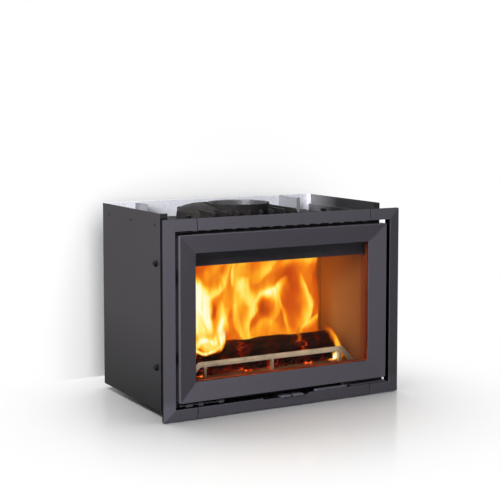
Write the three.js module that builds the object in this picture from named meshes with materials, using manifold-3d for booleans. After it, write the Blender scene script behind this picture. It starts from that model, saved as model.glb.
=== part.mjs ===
// Wood-burning fireplace insert: a glazed door in a bevelled surround, a lined
// firebox with a finned cast top and flue collar, and an open-topped sheet casing.
// Units are millimetres, +Z is up and the front faces -Y. The origin is at the
// middle of the footprint, on the surface that the levelling feet stand on.
import * as THREE from "three";
import { mergeVertices } from "three/addons/utils/BufferGeometryUtils.js";
import Module from "manifold-3d";

const wasm = await Module();
wasm.setup();

// ---------------------------------------------------------------- driving sizes
const FIT = 0.3; // gap kept between two pieces that rest on or against each other
const ROUND = 24; // sides of a large round
const ROUND_SMALL = 12; // sides of a screw, stud or rivet

// surround, with y = 0 at its outer edge and z = 0 at its lower edge
const SURROUND_WIDTH = 700;
const SURROUND_HEIGHT = 499;
const SURROUND_SIDE = 31;
const SURROUND_END = 29.2;
const SURROUND_PROUD = 5.25; // the inner edge stands this far in front of the outer one
const SURROUND_SHEET = 3;
const SURROUND_RETURN = 9;
const SURROUND_CORNER = 2;
const SURROUND_JOINT_INSET = 93; // from the outer edge to the joint beside the middle bars
const SURROUND_JOINT_GAP = 2;
const LEVER_RECESS_DEPTH = 4.2;

// black carrier frame behind the surround
const CARRIER_SHEET = 2.5;
const CARRIER_DEPTH = 20;
const CARRIER_FLANGE = 24;
const CARRIER_FLANGE_Y = 4.6;

// sheet casing
const CASING_OVERHANG = 21.1; // the surround reaches this far past each casing side
const CASING_SETBACK = 59;
const CASING_DEPTH = 365;
const CASING_BOTTOM = 11.7;
const CASING_RISE = 9.9; // the casing's top above the surround's
const CASING_SHEET = 1.5;
const CASING_FRONT_FLANGE = 20;
const CASING_REAR_FLANGE = 18;
const BASE_UPSTAND = 12;
const BASE_INLET_WIDTH = 190;
const BASE_INLET_DEPTH = 60;
const BASE_INLET_SETBACK = 80;
const FOOT_DROP = 1; // the feet reach this far below the surround
const FOOT_PAD_RADIUS = 16;
const FOOT_PAD_HEIGHT = 4;
const FOOT_STUD_RADIUS = 4;
const FOOT_STUD_HEIGHT = 26;
const FOOT_NUT_RADIUS = 7.5;
const FOOT_NUT_HEIGHT = 5;
const FOOT_INSET_SIDE = 88;
const FOOT_INSET_FRONT = 66;
const FOOT_INSET_REAR = 50;

// heat shields inside the casing sides
const SHIELD_GAP = 17;
const SHIELD_SHEET = 1;
const SHIELD_DROP = 27; // from the casing's top down to the shield's folded edge
const SHIELD_LIP = 12;
const SHIELD_END_INSET = 32;
const SIDE_SCREW_RADIUS = 3;
const SIDE_SCREW_HEAD_RADIUS = 8;
const SIDE_SCREW_HEAD_HEIGHT = 8;
const SIDE_SCREW_CROWN = 0.7; // the crown's share of the head's radius
const SIDE_SCREW_LENGTH = 11;
const SIDE_SCREW_SETBACK = 23.7;
const SIDE_SCREW_LOW = 121;
const SIDE_SCREW_HIGH = 383;

// door
const DOOR_SIDE_GAP = 11.5;
const DOOR_TOP_GAP = 10.3;
const DOOR_BOTTOM_GAP = 14.3;
const DOOR_SIDE_RAIL = 49.5;
const DOOR_END_RAIL = 47.2;
const DOOR_FRONT = -6;
const DOOR_BACK = 16;
const DOOR_BEVEL_DEPTH = 12.1;
const DOOR_EDGE_BREAK = 1.5;
const DOOR_CORNER = 3;
const GLASS_CORNER = 4.5;
const GLASS_LIP = 3.1; // thickness of the frame in front of the glass packing
const GLASS_OVERLAP = 11.5;
const GLASS_THICK = 4;
const GLASS_PACKING_THICK = 2;
const GLASS_PACKING_WIDTH = 8;
const GLASS_PLAY = 1; // room round the glass in its rebate
const GLASS_PACKING_INSET = 2; // from the rebate to the packing's outer edge
const GASKET_DIAMETER = 10;
const GASKET_INSET = 16.5; // from the door's edge to the rope groove
const GASKET_GROOVE_WIDTH = 10.8;
const GASKET_GROOVE_DEPTH = 5;
const GASKET_SIDES = 8;
const RETAINER_STRIP_LENGTH = 250;
const RETAINER_STRIP_WIDTH = 15;
const RETAINER_STRIP_THICK = 2;
const RETAINER_STRIP_INSET = 30.5;

// hinge on the left and latch on the right, both under and over the door
const HINGE_INSET = 9.5; // from the door's left edge to the pivot
const HINGE_Y = 8;
const HINGE_PIN_RADIUS = 4;
const HINGE_PIN_CLEARANCE = 0.4;
const HINGE_PIN_ENGAGE = 18;
const HINGE_PLATE_THICK = 3;
const HINGE_PIN_HEAD = 1;
const HINGE_PLATE_FRONT = -1;
const HINGE_PLATE_HALF = 15;
const HINGE_PIN_FLANGE = 2; // the head is this much wider than the pin all round
const HINGE_LOWER_AHEAD = 6; // from the lower plate's front edge back to the pivot
const HINGE_UPPER_REACH = 56;
const HINGE_LOWER_LENGTH = 122;
const HINGE_LOWER_DROP = 5.5; // the lower plate's top below the door
const HINGE_LUGS = [[11, 16], [44, 13], [102, 12]]; // from the pivot to each lug, and its width
const HINGE_LUG_REACH = 2.5; // above and below the plate
const LATCH_FROM_EDGE = 131.5; // from the door's right edge to the latch pivot
const LATCH_Y = 6;
const LATCH_ARM = 91;
const LATCH_TAIL = 10;
const LATCH_BAR_THICK = 4.4;
const LATCH_BAR_DEPTH = 13;
const LATCH_DROP = 0.5; // the bar passes this far above the surround's edge
const LATCH_BOSS_RADIUS = 5.5;
const LATCH_BOSS_ENGAGE = 2; // the boss runs this far up into the door
const LATCH_PIN_RADIUS = 2.5;
const LATCH_PIN_ENGAGE = 8;
const LATCH_NOSE_DEPTH = 7;
const LATCH_NOSE_TIP = 4; // from the bar's right end to the nose's tip
const LATCH_NOSE_EASE = 2; // the nose's flank is this much lower than its tip
const LATCH_GRIP_ROUND = 4.3;
const KEEPER_WIDTH = 13;
const KEEPER_HEIGHT = 10.5;
const KEEPER_PLATE_THICK = 3;
const KEEPER_GAP = 1; // from the bar's right end to the keeper's lug
const KEEPER_PLATE_AHEAD = 6; // from the plate's front edge back to the latch pivot
const KEEPER_LUG_BACK = 4; // from the latch pivot back to the lug's front face
const KEEPER_PLATE_END = 7; // from the plate's outer end to the surround's opening

// air levers
const LEVER_WIDTH = 27.5;
const LEVER_THICK = 3.2;
const LEVER_FRONT = -7;
const LEVER_PITCH = 37.3;
const LEVER_MIDDLE = 15.9; // the pair is centred this far right of the middle
const LEVER_RECESS_LEFT = 88; // from the pair's middle to the recess's ends
const LEVER_RECESS_RIGHT = 50;
const LEVER_LENGTH = 116;
const VALVE_WIDTH = 34.5;
const VALVE_LENGTH = 56;
const VALVE_WINDOW = 20;
const HOUSING_WALL = 3;
const HOUSING_DEPTH = 76;
const HOUSING_FRONT = 40;

// firebox
const FRAME_INSET = 8.5; // from the door's edge to the front frame's edge
const FRAME_THICK = 10;
const FRAME_RAIL = 37; // the front frame's side member
const FRAME_SILL = 2.3; // the frame's opening starts this far above the glass opening
const FRAME_HEAD = 6;
const FRAME_DROP = 12; // the frame reaches this far below the door
const WALL_INSET = 3;
const WALL_THICK = 6;
const REAR_SPACE = 78; // from the firebox's back to the casing's
const LEG_HEIGHT = 31;
const LEG_LENGTH = 38;
const FLOOR_DROP = 24.7; // the floor plate's top below the glass opening
const FLOOR_THICK = 8;
const TOP_RISE = 5.5; // the top plate's surface above the door's top
const TOP_THICK = 6;
const TOP_FRONT_Y = 20.5;
const TOP_REAR_OVERHANG = 56;
const FIN_THICK = 7;
const FIN_HEIGHT = 29.5;
const FIN_PITCH = 35.6;
const FIN_COUNT = 8;
const FIN_AHEAD = 100; // from the flue's centre to the fins' ends
const FIN_BEHIND = 118;
const FIN_ROUND = 9;
const FIN_TOE = 7;
const DOME_RADIUS = 98;
const DOME_STRETCH = 1.12; // the dome is this much wider across than front to back
const DOME_RISE = 42;
const DOME_LEFT = 50;
const DOME_BACK = 42;
const DOME_FULLNESS = 3.4;
const FLUE_FROM_REAR = 164;
const FLUE_BORE_RADIUS = 76;
const COLLAR_WALL = 9.6;
const COLLAR_PROUD = 0.6; // the collar's top above the casing's
const COLLAR_SKIRT = 5;
const COLLAR_SKIRT_HEIGHT = 6;
const COLLAR_GASKET_THICK = 2;
const COLLAR_GASKET_INSET = 1; // from the bore and from the skirt's edge
const COLLAR_LUG_RADIUS = 11;
const COLLAR_LUG_OUT = 96;
const COLLAR_BOLT_RADIUS = 4;
const STUD_RADIUS = 4;
const STUD_NUT_RADIUS = 8;
const STUD_NUT_HEIGHT = 8;
const STUD_TALL = 28;
const STUD_TIP = 1; // the stud stands this far out of its nut
const WASHER_THICK = 2;
const WASHER_FLANGE = 1; // the washer is this much wider than the nut all round
const STUD_FROM_SIDE = 93;
const STUD_AHEAD = 110;

// lining and fittings inside the firebox
const BRICK_SIDE_THICK = 27.4;
const BRICK_BACK_THICK = 30.4;
const CHAMBER_DEPTH = 218; // from the front frame to the back lining
const HEARTH_THICK = 13.7;
const LINING_TOP_DROP = 40.7; // the lining's top below the glass opening's top
const BAFFLE_THICK = 25;
const BAFFLE_SMOKE_GAP = 78;
const GRATE_WIDTH = 220;
const GRATE_DEPTH = 110;
const GRATE_MARGIN = 78;
const GRATE_BARS = 10;
const GRATE_SLOT = 9;
const GRATE_RIM = 12;
const GRATE_LEDGE = 12;
const ASH_BOX_DEPTH = 36;
const ASH_BOX_SHEET = 1.5;
const ASH_BOX_PLAY = 1; // room round the box in the floor's hole
const GRATE_SUNK = 1; // the grate's top below the hearth's
const DUCT_SHEET = 3;
const AIR_HOLE_RADIUS = 4;
const AIR_HOLE_COUNT = 8;
const AIR_HOLE_PITCH = 58;
const AIR_HOLE_RISE = 190;
const WASH_SHEET = 3;
const WASH_DEPTH = 12;
const WASH_DROP = 36.3; // the deflector's lower edge below the glass opening's top
const WASH_RISE = 28;
const WASH_LIP = 14;
const RETAINER_SETBACK = 40;
const RETAINER_THICK = 4;
const RETAINER_BAR = 13.5;
const RETAINER_HEIGHT = 43;
const RETAINER_POST_WIDTH = 7;
const RETAINER_POST_DEPTH = 16;
const RETAINER_POST_TOE = 9.6; // the post's depth at the hearth
const RETAINER_CLEARANCE = 1;

// warm-air grille, spacer brackets and surround brackets
const GRILLE_THICK = 2.5;
const GRILLE_HEIGHT = 10;
const GRILLE_SLOT_WIDTH = 14.5;
const GRILLE_SLOT_HEIGHT = 5;
const GRILLE_SLOT_PITCH = 36;
const GRILLE_SLOT_COUNT = 15;
const GRILLE_HINGE_GAP = 4;
const SPACER_SHEET = 1.5;
const SPACER_FLANGE = 12;
const SPACER_LEFT_X = -222;
const SPACER_LEFT_REACH = 57.5;
const SPACER_LEFT_DROP = 4;
const SPACER_RIGHT_X = 225;
const SPACER_RIGHT_REACH = 100;
const SPACER_RIGHT_DROP = 1;
const BRACKET_SHEET = 2;
const BRACKET_HEIGHT = 30;
const BRACKET_FLANGE = 14;
const BRACKET_LOW = 150;
const BRACKET_HIGH = 350;

// ---------------------------------------------------------------- places worked out
const OPENING_HALF = SURROUND_WIDTH / 2 - SURROUND_SIDE;
const OPENING_TOP = SURROUND_HEIGHT - SURROUND_END;
const DOOR_HALF = OPENING_HALF - DOOR_SIDE_GAP;
const DOOR_TOP = OPENING_TOP - DOOR_TOP_GAP;
const DOOR_BOTTOM = SURROUND_END + DOOR_BOTTOM_GAP;
const GLASS_HALF = DOOR_HALF - DOOR_SIDE_RAIL;
const GLASS_TOP = DOOR_TOP - DOOR_END_RAIL;
const GLASS_BOTTOM = DOOR_BOTTOM + DOOR_END_RAIL;
const RAIL_RATIO = DOOR_END_RAIL / DOOR_SIDE_RAIL;
const PACKING_Y = DOOR_FRONT + DOOR_BEVEL_DEPTH + GLASS_LIP + FIT;
const GLASS_Y = PACKING_Y + GLASS_PACKING_THICK + FIT;
const GASKET_Y = DOOR_BACK - GASKET_GROOVE_DEPTH + FIT;
const FRAME_FACE = GASKET_Y + GASKET_DIAMETER + FIT;
const HINGE_X = -DOOR_HALF + HINGE_INSET;
const LATCH_X = DOOR_HALF - LATCH_FROM_EDGE;

const CASING_HALF = SURROUND_WIDTH / 2 - CASING_OVERHANG;
const CASING_INNER = CASING_HALF - CASING_SHEET;
const CASING_REAR = CASING_SETBACK + CASING_DEPTH;
const CASING_TOP = SURROUND_HEIGHT + CASING_RISE;
const BASE_TOP = CASING_BOTTOM + CASING_SHEET;

const FRAME_HALF = DOOR_HALF - FRAME_INSET;
const FRAME_BACK = FRAME_FACE + FRAME_THICK;
const CHAMBER_HALF = FRAME_HALF - FRAME_RAIL;
const FRAME_BOTTOM = DOOR_BOTTOM - FRAME_DROP;
const FRAME_OPENING_BOTTOM = GLASS_BOTTOM + FRAME_SILL;
const FRAME_OPENING_TOP = GLASS_TOP + FRAME_HEAD;
const TOP_SURFACE = DOOR_TOP + TOP_RISE;
const TOP_UNDERSIDE = TOP_SURFACE - TOP_THICK;
const FRAME_TOP = TOP_UNDERSIDE - FIT;
const WALL_OUTER = FRAME_HALF - WALL_INSET;
const WALL_INNER = WALL_OUTER - WALL_THICK;
const WALL_FRONT = FRAME_BACK + FIT;
const FIREBOX_REAR = CASING_REAR - REAR_SPACE;
const FIREBOX_INNER_REAR = FIREBOX_REAR - WALL_THICK;
const FLOOR_TOP = GLASS_BOTTOM - FLOOR_DROP;
const FLOOR_BOTTOM = FLOOR_TOP - FLOOR_THICK;
const HEARTH_TOP = FLOOR_TOP + FIT + HEARTH_THICK;
const LINING_TOP = GLASS_TOP - LINING_TOP_DROP;
const LINING_FRONT = WALL_FRONT;
const BACK_LINING = FRAME_BACK + CHAMBER_DEPTH;
const FLUE_Y = CASING_REAR - FLUE_FROM_REAR;
const COLLAR_RADIUS = FLUE_BORE_RADIUS + COLLAR_WALL;
const COLLAR_SKIRT_RADIUS = COLLAR_RADIUS + COLLAR_SKIRT;
const COLLAR_BOTTOM = TOP_SURFACE + COLLAR_GASKET_THICK + 2 * FIT;
const COLLAR_TOP = CASING_TOP + COLLAR_PROUD;
const FIN_TOP = TOP_SURFACE + FIN_HEIGHT;
const TOP_REAR = FIREBOX_REAR + TOP_REAR_OVERHANG;
const GRATE_FRONT = FRAME_BACK + GRATE_MARGIN;
const GRATE_REAR = GRATE_FRONT + GRATE_DEPTH;
const GRATE_HALF = GRATE_WIDTH / 2;
const LEVER_BOTTOM = SURROUND_END - LEVER_RECESS_DEPTH + FIT;
const LEVER_TOP = LEVER_BOTTOM + LEVER_THICK;
const LEVER_CENTRES = [LEVER_MIDDLE - LEVER_PITCH / 2, LEVER_MIDDLE + LEVER_PITCH / 2];
const LATCH_BOTTOM = SURROUND_END + LATCH_DROP;
const LATCH_TOP = LATCH_BOTTOM + LATCH_BAR_THICK;
const SHIELD_TOP = CASING_TOP - SHIELD_DROP;
const SHIELD_OUTER = CASING_INNER - SHIELD_GAP;

// ---------------------------------------------------------------- solids
function toSolid(geometry) {
  const plain = geometry.clone();
  plain.deleteAttribute("normal");
  plain.deleteAttribute("uv");
  const merged = mergeVertices(plain, 1e-4);
  return new wasm.Manifold(
    new wasm.Mesh({
      numProp: 3,
      vertProperties: new Float32Array(merged.attributes.position.array),
      triVerts: new Uint32Array(merged.index.array),
    }),
  );
}

function join(...solids) {
  return solids.reduce((whole, next) => whole.add(next));
}

function cut(solid, ...tools) {
  return tools.reduce((left, tool) => left.subtract(tool), solid);
}

function block(xa, xb, ya, yb, za, zb) {
  const box = new THREE.BoxGeometry(Math.abs(xb - xa), Math.abs(yb - ya), Math.abs(zb - za));
  box.translate((xa + xb) / 2, (ya + yb) / 2, (za + zb) / 2);
  return toSolid(box);
}

// a straight prism: the outline is in (y, z) along x, (x, z) along y or (x, y) along z
function prism(axis, from, to, outline) {
  const shape = new THREE.Shape(outline.map(([u, v]) => new THREE.Vector2(u, v)));
  const depth = to - from;
  const geometry = new THREE.ExtrudeGeometry(shape, { depth, bevelEnabled: false });
  const turn = new THREE.Matrix4();
  if (axis === "x") {
    geometry.translate(0, 0, from);
    turn.set(0, 0, 1, 0, 1, 0, 0, 0, 0, 1, 0, 0, 0, 0, 0, 1);
  } else if (axis === "y") {
    geometry.translate(0, 0, -to);
    turn.set(1, 0, 0, 0, 0, 0, -1, 0, 0, 1, 0, 0, 0, 0, 0, 1);
  } else {
    geometry.translate(0, 0, from);
  }
  geometry.applyMatrix4(turn);
  return toSolid(geometry);
}

// a round bar along one axis; "across" holds its centre in the other two, in X, Y, Z order
function rod(axis, from, to, across, radius, sides = ROUND_SMALL) {
  const length = Math.abs(to - from);
  const middle = (from + to) / 2;
  const geometry = new THREE.CylinderGeometry(radius, radius, length, sides);
  if (axis === "x") {
    geometry.rotateZ(Math.PI / 2);
    geometry.translate(middle, across[0], across[1]);
  } else if (axis === "y") {
    geometry.translate(across[0], middle, across[1]);
  } else {
    geometry.rotateX(Math.PI / 2);
    geometry.translate(across[0], across[1], middle);
  }
  return toSolid(geometry);
}

function tube(from, to, centre, inner, outer, sides = ROUND) {
  const through = rod("z", from - 1, to + 1, centre, inner, sides);
  return cut(rod("z", from, to, centre, outer, sides), through);
}

function arc(centre, radius, startDeg, endDeg, steps) {
  const points = [];
  for (let i = 0; i <= steps; i += 1) {
    const angle = THREE.MathUtils.degToRad(startDeg + ((endDeg - startDeg) * i) / steps);
    points.push([centre[0] + radius * Math.cos(angle), centre[1] + radius * Math.sin(angle)]);
  }
  return points;
}

// a rectangle in X and Z with round corners, as a loop of points at one depth
function roundedLoop(half, bottom, top, radius, y, steps = 3) {
  const left = -half + radius;
  const right = half - radius;
  const corners = [
    arc([right, bottom + radius], radius, -90, 0, steps),
    arc([right, top - radius], radius, 0, 90, steps),
    arc([left, top - radius], radius, 90, 180, steps),
    arc([left, bottom + radius], radius, 180, 270, steps),
  ];
  return corners.flat().map(([x, z]) => [x, y, z]);
}

// a frame moulding: loops with the same number of points, joined each to the next
function moulding(loops) {
  const count = loops[0].length;
  const positions = loops.flat(2);
  const triangles = [];
  for (let i = 0; i < loops.length; i += 1) {
    const next = (i + 1) % loops.length;
    for (let j = 0; j < count; j += 1) {
      const k = (j + 1) % count;
      triangles.push(i * count + j, next * count + j, next * count + k);
      triangles.push(i * count + j, next * count + k, i * count + k);
    }
  }
  const geometry = new THREE.BufferGeometry();
  geometry.setAttribute("position", new THREE.Float32BufferAttribute(positions, 3));
  geometry.setIndex(signedVolume(positions, triangles) < 0 ? triangles.reverse() : triangles);
  return toSolid(geometry);
}

function signedVolume(positions, triangles) {
  const corner = (i) => new THREE.Vector3().fromArray(positions, 3 * triangles[i]);
  let total = 0;
  for (let i = 0; i < triangles.length; i += 3) {
    total += corner(i).dot(corner(i + 1).cross(corner(i + 2))) / 6;
  }
  return total;
}

// the surround's moulding loop: inset from its outer edge, at a depth
function surroundLoop(inset, y, radius) {
  const share = inset / SURROUND_SIDE;
  const insetEnd = share * SURROUND_END;
  const half = SURROUND_WIDTH / 2 - inset;
  return roundedLoop(half, insetEnd, SURROUND_HEIGHT - insetEnd, radius, y);
}

// the door's moulding loop: inset from its outer edge, at a depth
function doorLoop(inset, y, radius) {
  const insetEnd = inset * RAIL_RATIO;
  return roundedLoop(DOOR_HALF - inset, DOOR_BOTTOM + insetEnd, DOOR_TOP - insetEnd, radius, y);
}

// ---------------------------------------------------------------- finishes
const finish = (color, roughness, metalness) =>
  new THREE.MeshStandardMaterial({ color, roughness, metalness, flatShading: true });
const FINISHES = {
  surroundPaint: finish(0x56545b, 0.55, 0.3),
  doorPaint: finish(0x4c4a50, 0.5, 0.35),
  casingPaint: finish(0x454446, 0.6, 0.2),
  blackSteel: finish(0x161617, 0.6, 0.3),
  castIron: finish(0x3c3a39, 0.7, 0.4),
  galvanised: finish(0xc4c6ca, 0.4, 0.8),
  vermiculite: finish(0xb58a56, 0.95, 0),
  stainless: finish(0xc9c1b6, 0.3, 0.9),
  glass: finish(0x9a9488, 0.05, 0),
  rope: finish(0x2c2b2a, 0.95, 0),
  fixings: finish(0x1d1d1e, 0.45, 0.6),
  zincSteel: finish(0x9fa1a4, 0.4, 0.8),
};

const insert = new THREE.Group();
insert.position.set(0, -(LEVER_FRONT + CASING_REAR) / 2, FOOT_DROP);

function add(name, solid, material) {
  const { vertProperties, triVerts } = solid.getMesh();
  const geometry = new THREE.BufferGeometry();
  geometry.setAttribute("position", new THREE.BufferAttribute(vertProperties, 3));
  geometry.setIndex(new THREE.BufferAttribute(triVerts, 1));
  geometry.computeVertexNormals();
  const mesh = new THREE.Mesh(geometry, material);
  mesh.name = name;
  insert.add(mesh);
}

// ---------------------------------------------------------------- casing
function sideScrewPlace(z) {
  return [CASING_SETBACK + SIDE_SCREW_SETBACK, z];
}

function casingSide(side) {
  const wall = block(
    side * CASING_INNER, side * CASING_HALF, CASING_SETBACK, CASING_REAR, CASING_BOTTOM, CASING_TOP,
  );
  const flange = block(
    side * (CASING_HALF - CASING_FRONT_FLANGE), side * CASING_HALF,
    CASING_SETBACK, CASING_SETBACK + CASING_SHEET, CASING_BOTTOM, CASING_TOP,
  );
  const holes = [SIDE_SCREW_LOW, SIDE_SCREW_HIGH].map((z) =>
    rod(
      "x", side * (CASING_INNER - 1), side * (CASING_HALF + 1),
      sideScrewPlace(z), SIDE_SCREW_RADIUS + FIT,
    ),
  );
  return cut(join(wall, flange), ...holes);
}

function casingBack() {
  const half = CASING_INNER - FIT;
  const inner = CASING_REAR - CASING_SHEET;
  const plate = block(-half, half, inner, CASING_REAR, CASING_BOTTOM, CASING_TOP);
  const flanges = [-1, 1].map((side) =>
    block(
      side * (half - CASING_SHEET), side * half,
      CASING_REAR - CASING_REAR_FLANGE, CASING_REAR, CASING_BOTTOM, CASING_TOP,
    ),
  );
  return join(plate, ...flanges);
}

const FOOT_X = CASING_HALF - FOOT_INSET_SIDE;
const FOOT_FRONT_Y = CASING_SETBACK + FOOT_INSET_FRONT;
const FOOT_REAR_Y = CASING_REAR - FOOT_INSET_REAR;
const FEET = {
  front_left: [-FOOT_X, FOOT_FRONT_Y],
  front_right: [FOOT_X, FOOT_FRONT_Y],
  rear_left: [-FOOT_X, FOOT_REAR_Y],
  rear_right: [FOOT_X, FOOT_REAR_Y],
};

// the floor of the casing, with an apron that runs forward to the carrier
function casingBase() {
  const half = CASING_INNER - FIT;
  const front = CASING_SETBACK + CASING_SHEET + FIT;
  const rear = CASING_REAR - CASING_REAR_FLANGE - FIT;
  const plate = block(-half, half, front, rear, CASING_BOTTOM, BASE_TOP);
  const apronHalf = CASING_HALF - CASING_FRONT_FLANGE - FIT;
  const apronFront = CARRIER_FLANGE_Y + CARRIER_SHEET + FIT;
  const apron = block(-apronHalf, apronHalf, apronFront, front + 1, CASING_BOTTOM, BASE_TOP);
  const upstands = [-1, 1].map((side) =>
    block(side * (half - CASING_SHEET), side * half, front, rear, CASING_BOTTOM, BASE_TOP + BASE_UPSTAND),
  );
  const studHoles = Object.values(FEET).map((place) =>
    rod("z", CASING_BOTTOM - 1, BASE_TOP + 1, place, FOOT_STUD_RADIUS + FIT),
  );
  return cut(join(plate, apron, ...upstands), ...baseInlets(), ...studHoles);
}

// two cut-outs beside the valve housing, where room air enters for convection
function baseInlets() {
  const start = CASING_SETBACK + BASE_INLET_SETBACK;
  return [-FOOT_X / 2, FOOT_X / 2].map((x) =>
    block(
      x - BASE_INLET_WIDTH / 2, x + BASE_INLET_WIDTH / 2,
      start, start + BASE_INLET_DEPTH, CASING_BOTTOM - 1, BASE_TOP + 1,
    ),
  );
}

// a pad on a threaded stud, with the nut that the base stands on
function levellingFoot(place) {
  const seat = CASING_BOTTOM - FIT;
  const pad = rod("z", -FOOT_DROP, FOOT_PAD_HEIGHT - FOOT_DROP, place, FOOT_PAD_RADIUS, ROUND);
  const stud = rod("z", 0, FOOT_STUD_HEIGHT, place, FOOT_STUD_RADIUS);
  const nut = rod("z", seat - FOOT_NUT_HEIGHT, seat, place, FOOT_NUT_RADIUS, 6);
  return join(pad, stud, nut);
}

function heatShield(side) {
  const front = CASING_SETBACK + SHIELD_END_INSET;
  const rear = CASING_REAR - SHIELD_END_INSET;
  const lipOuter = CASING_INNER - FIT;
  const sheet = block(
    side * (SHIELD_OUTER - SHIELD_SHEET), side * SHIELD_OUTER, front, rear, BASE_TOP + FIT, SHIELD_TOP,
  );
  const ledge = block(
    side * (SHIELD_OUTER - SHIELD_SHEET), side * lipOuter,
    front, rear, SHIELD_TOP - SHIELD_SHEET, SHIELD_TOP,
  );
  const lip = block(
    side * (lipOuter - SHIELD_SHEET), side * lipOuter, front, rear, SHIELD_TOP - SHIELD_LIP, SHIELD_TOP,
  );
  return join(sheet, ledge, lip);
}

function sideScrew(side, z) {
  const place = sideScrewPlace(z);
  const seat = CASING_HALF + FIT;
  const rim = seat + SIDE_SCREW_HEAD_HEIGHT / 2;
  const top = seat + SIDE_SCREW_HEAD_HEIGHT;
  const head = rod("x", side * seat, side * rim, place, SIDE_SCREW_HEAD_RADIUS);
  const crown = rod("x", side * rim, side * top, place, SIDE_SCREW_HEAD_RADIUS * SIDE_SCREW_CROWN);
  const shank = rod("x", side * (seat - SIDE_SCREW_LENGTH), side * seat, place, SIDE_SCREW_RADIUS);
  return join(head, crown, shank);
}

function spacerBracket(side, x, reach, drop) {
  const rear = CASING_REAR - CASING_SHEET - FIT;
  const front = rear - reach;
  const bottom = TOP_SURFACE + FIT;
  const top = CASING_TOP - drop;
  const web = block(x, x + side * SPACER_SHEET, front, rear, bottom, top);
  const rearFlange = block(x, x + side * SPACER_FLANGE, rear - SPACER_SHEET, rear, bottom, top);
  const footRear = Math.min(TOP_REAR, front + SPACER_FLANGE * 2);
  const foot = block(x, x + side * SPACER_FLANGE, front, footRear, bottom, bottom + SPACER_SHEET);
  return join(web, rearFlange, foot);
}

function spacerFrontFlange(x) {
  const front = CASING_REAR - CASING_SHEET - FIT - SPACER_RIGHT_REACH;
  const bottom = TOP_SURFACE + FIT;
  return block(x, x + SPACER_FLANGE, front, front + SPACER_SHEET, bottom, CASING_TOP - SPACER_RIGHT_DROP);
}

function buildCasing() {
  add("casing_left_panel", casingSide(-1), FINISHES.casingPaint);
  add("casing_right_panel", casingSide(1), FINISHES.casingPaint);
  add("casing_back_panel", casingBack(), FINISHES.galvanised);
  add("casing_base", casingBase(), FINISHES.galvanised);
  for (const [corner, place] of Object.entries(FEET)) {
    add(`levelling_foot_${corner}`, levellingFoot(place), FINISHES.zincSteel);
  }
  add("heat_shield_left", heatShield(-1), FINISHES.galvanised);
  add("heat_shield_right", heatShield(1), FINISHES.galvanised);
  add("side_screw_left_low", sideScrew(-1, SIDE_SCREW_LOW), FINISHES.fixings);
  add("side_screw_left_high", sideScrew(-1, SIDE_SCREW_HIGH), FINISHES.fixings);
  add("side_screw_right_low", sideScrew(1, SIDE_SCREW_LOW), FINISHES.fixings);
  add("side_screw_right_high", sideScrew(1, SIDE_SCREW_HIGH), FINISHES.fixings);
  const left = spacerBracket(-1, SPACER_LEFT_X, SPACER_LEFT_REACH, SPACER_LEFT_DROP);
  const right = spacerBracket(1, SPACER_RIGHT_X, SPACER_RIGHT_REACH, SPACER_RIGHT_DROP);
  add("spacer_bracket_left", left, FINISHES.galvanised);
  add("spacer_bracket_right", join(right, spacerFrontFlange(SPACER_RIGHT_X)), FINISHES.galvanised);
}

// ---------------------------------------------------------------- firebox
function fireboxSide(side) {
  const wall = block(
    side * WALL_INNER, side * WALL_OUTER, WALL_FRONT, FIREBOX_REAR, BASE_TOP + FIT, FRAME_TOP,
  );
  const arch = block(
    side * (WALL_INNER - 1), side * (WALL_OUTER + 1),
    WALL_FRONT + LEG_LENGTH, FIREBOX_REAR - LEG_LENGTH, BASE_TOP, BASE_TOP + LEG_HEIGHT,
  );
  return cut(wall, arch);
}

function fireboxBack() {
  const half = WALL_INNER - FIT;
  return block(-half, half, FIREBOX_INNER_REAR, FIREBOX_REAR, FLOOR_BOTTOM, FRAME_TOP);
}

function fireboxFloor() {
  const half = WALL_INNER - FIT;
  const plate = block(-half, half, WALL_FRONT, FIREBOX_INNER_REAR - FIT, FLOOR_BOTTOM, FLOOR_TOP);
  const hole = block(
    -GRATE_HALF + GRATE_LEDGE, GRATE_HALF - GRATE_LEDGE,
    GRATE_FRONT + GRATE_LEDGE, GRATE_REAR - GRATE_LEDGE, FLOOR_BOTTOM - 1, FLOOR_TOP + 1,
  );
  return cut(plate, hole);
}

function frontFrame() {
  const plate = block(-FRAME_HALF, FRAME_HALF, FRAME_FACE, FRAME_BACK, FRAME_BOTTOM, FRAME_TOP);
  const opening = block(
    -CHAMBER_HALF, CHAMBER_HALF,
    FRAME_FACE - 1, FRAME_BACK + 1, FRAME_OPENING_BOTTOM, FRAME_OPENING_TOP,
  );
  return cut(plate, opening);
}

function finOutline() {
  const front = FLUE_Y - FIN_AHEAD;
  const rear = FLUE_Y + FIN_BEHIND;
  const root = TOP_SURFACE - 1;
  return [
    [front - FIN_TOE, root],
    [rear, root],
    ...arc([rear - FIN_ROUND, FIN_TOP - FIN_ROUND], FIN_ROUND, 0, 90, 3),
    ...arc([front + FIN_ROUND, FIN_TOP - FIN_ROUND], FIN_ROUND, 90, 180, 3),
    [front, TOP_SURFACE + FIN_TOE],
  ];
}

function topDome() {
  const base = TOP_SURFACE - 1;
  const profile = [new THREE.Vector2(0, base), new THREE.Vector2(DOME_RADIUS, base)];
  for (const share of [1, 0.97, 0.9, 0.8, 0.65, 0.45, 0]) {
    const fall = (1 - share ** DOME_FULLNESS) ** (1 / DOME_FULLNESS);
    profile.push(new THREE.Vector2(share * DOME_RADIUS, TOP_SURFACE + DOME_RISE * fall));
  }
  const geometry = new THREE.LatheGeometry(profile, ROUND);
  geometry.rotateX(Math.PI / 2);
  geometry.scale(DOME_STRETCH, 1, 1);
  geometry.translate(-DOME_LEFT, FLUE_Y + DOME_BACK, 0);
  return toSolid(geometry);
}

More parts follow.
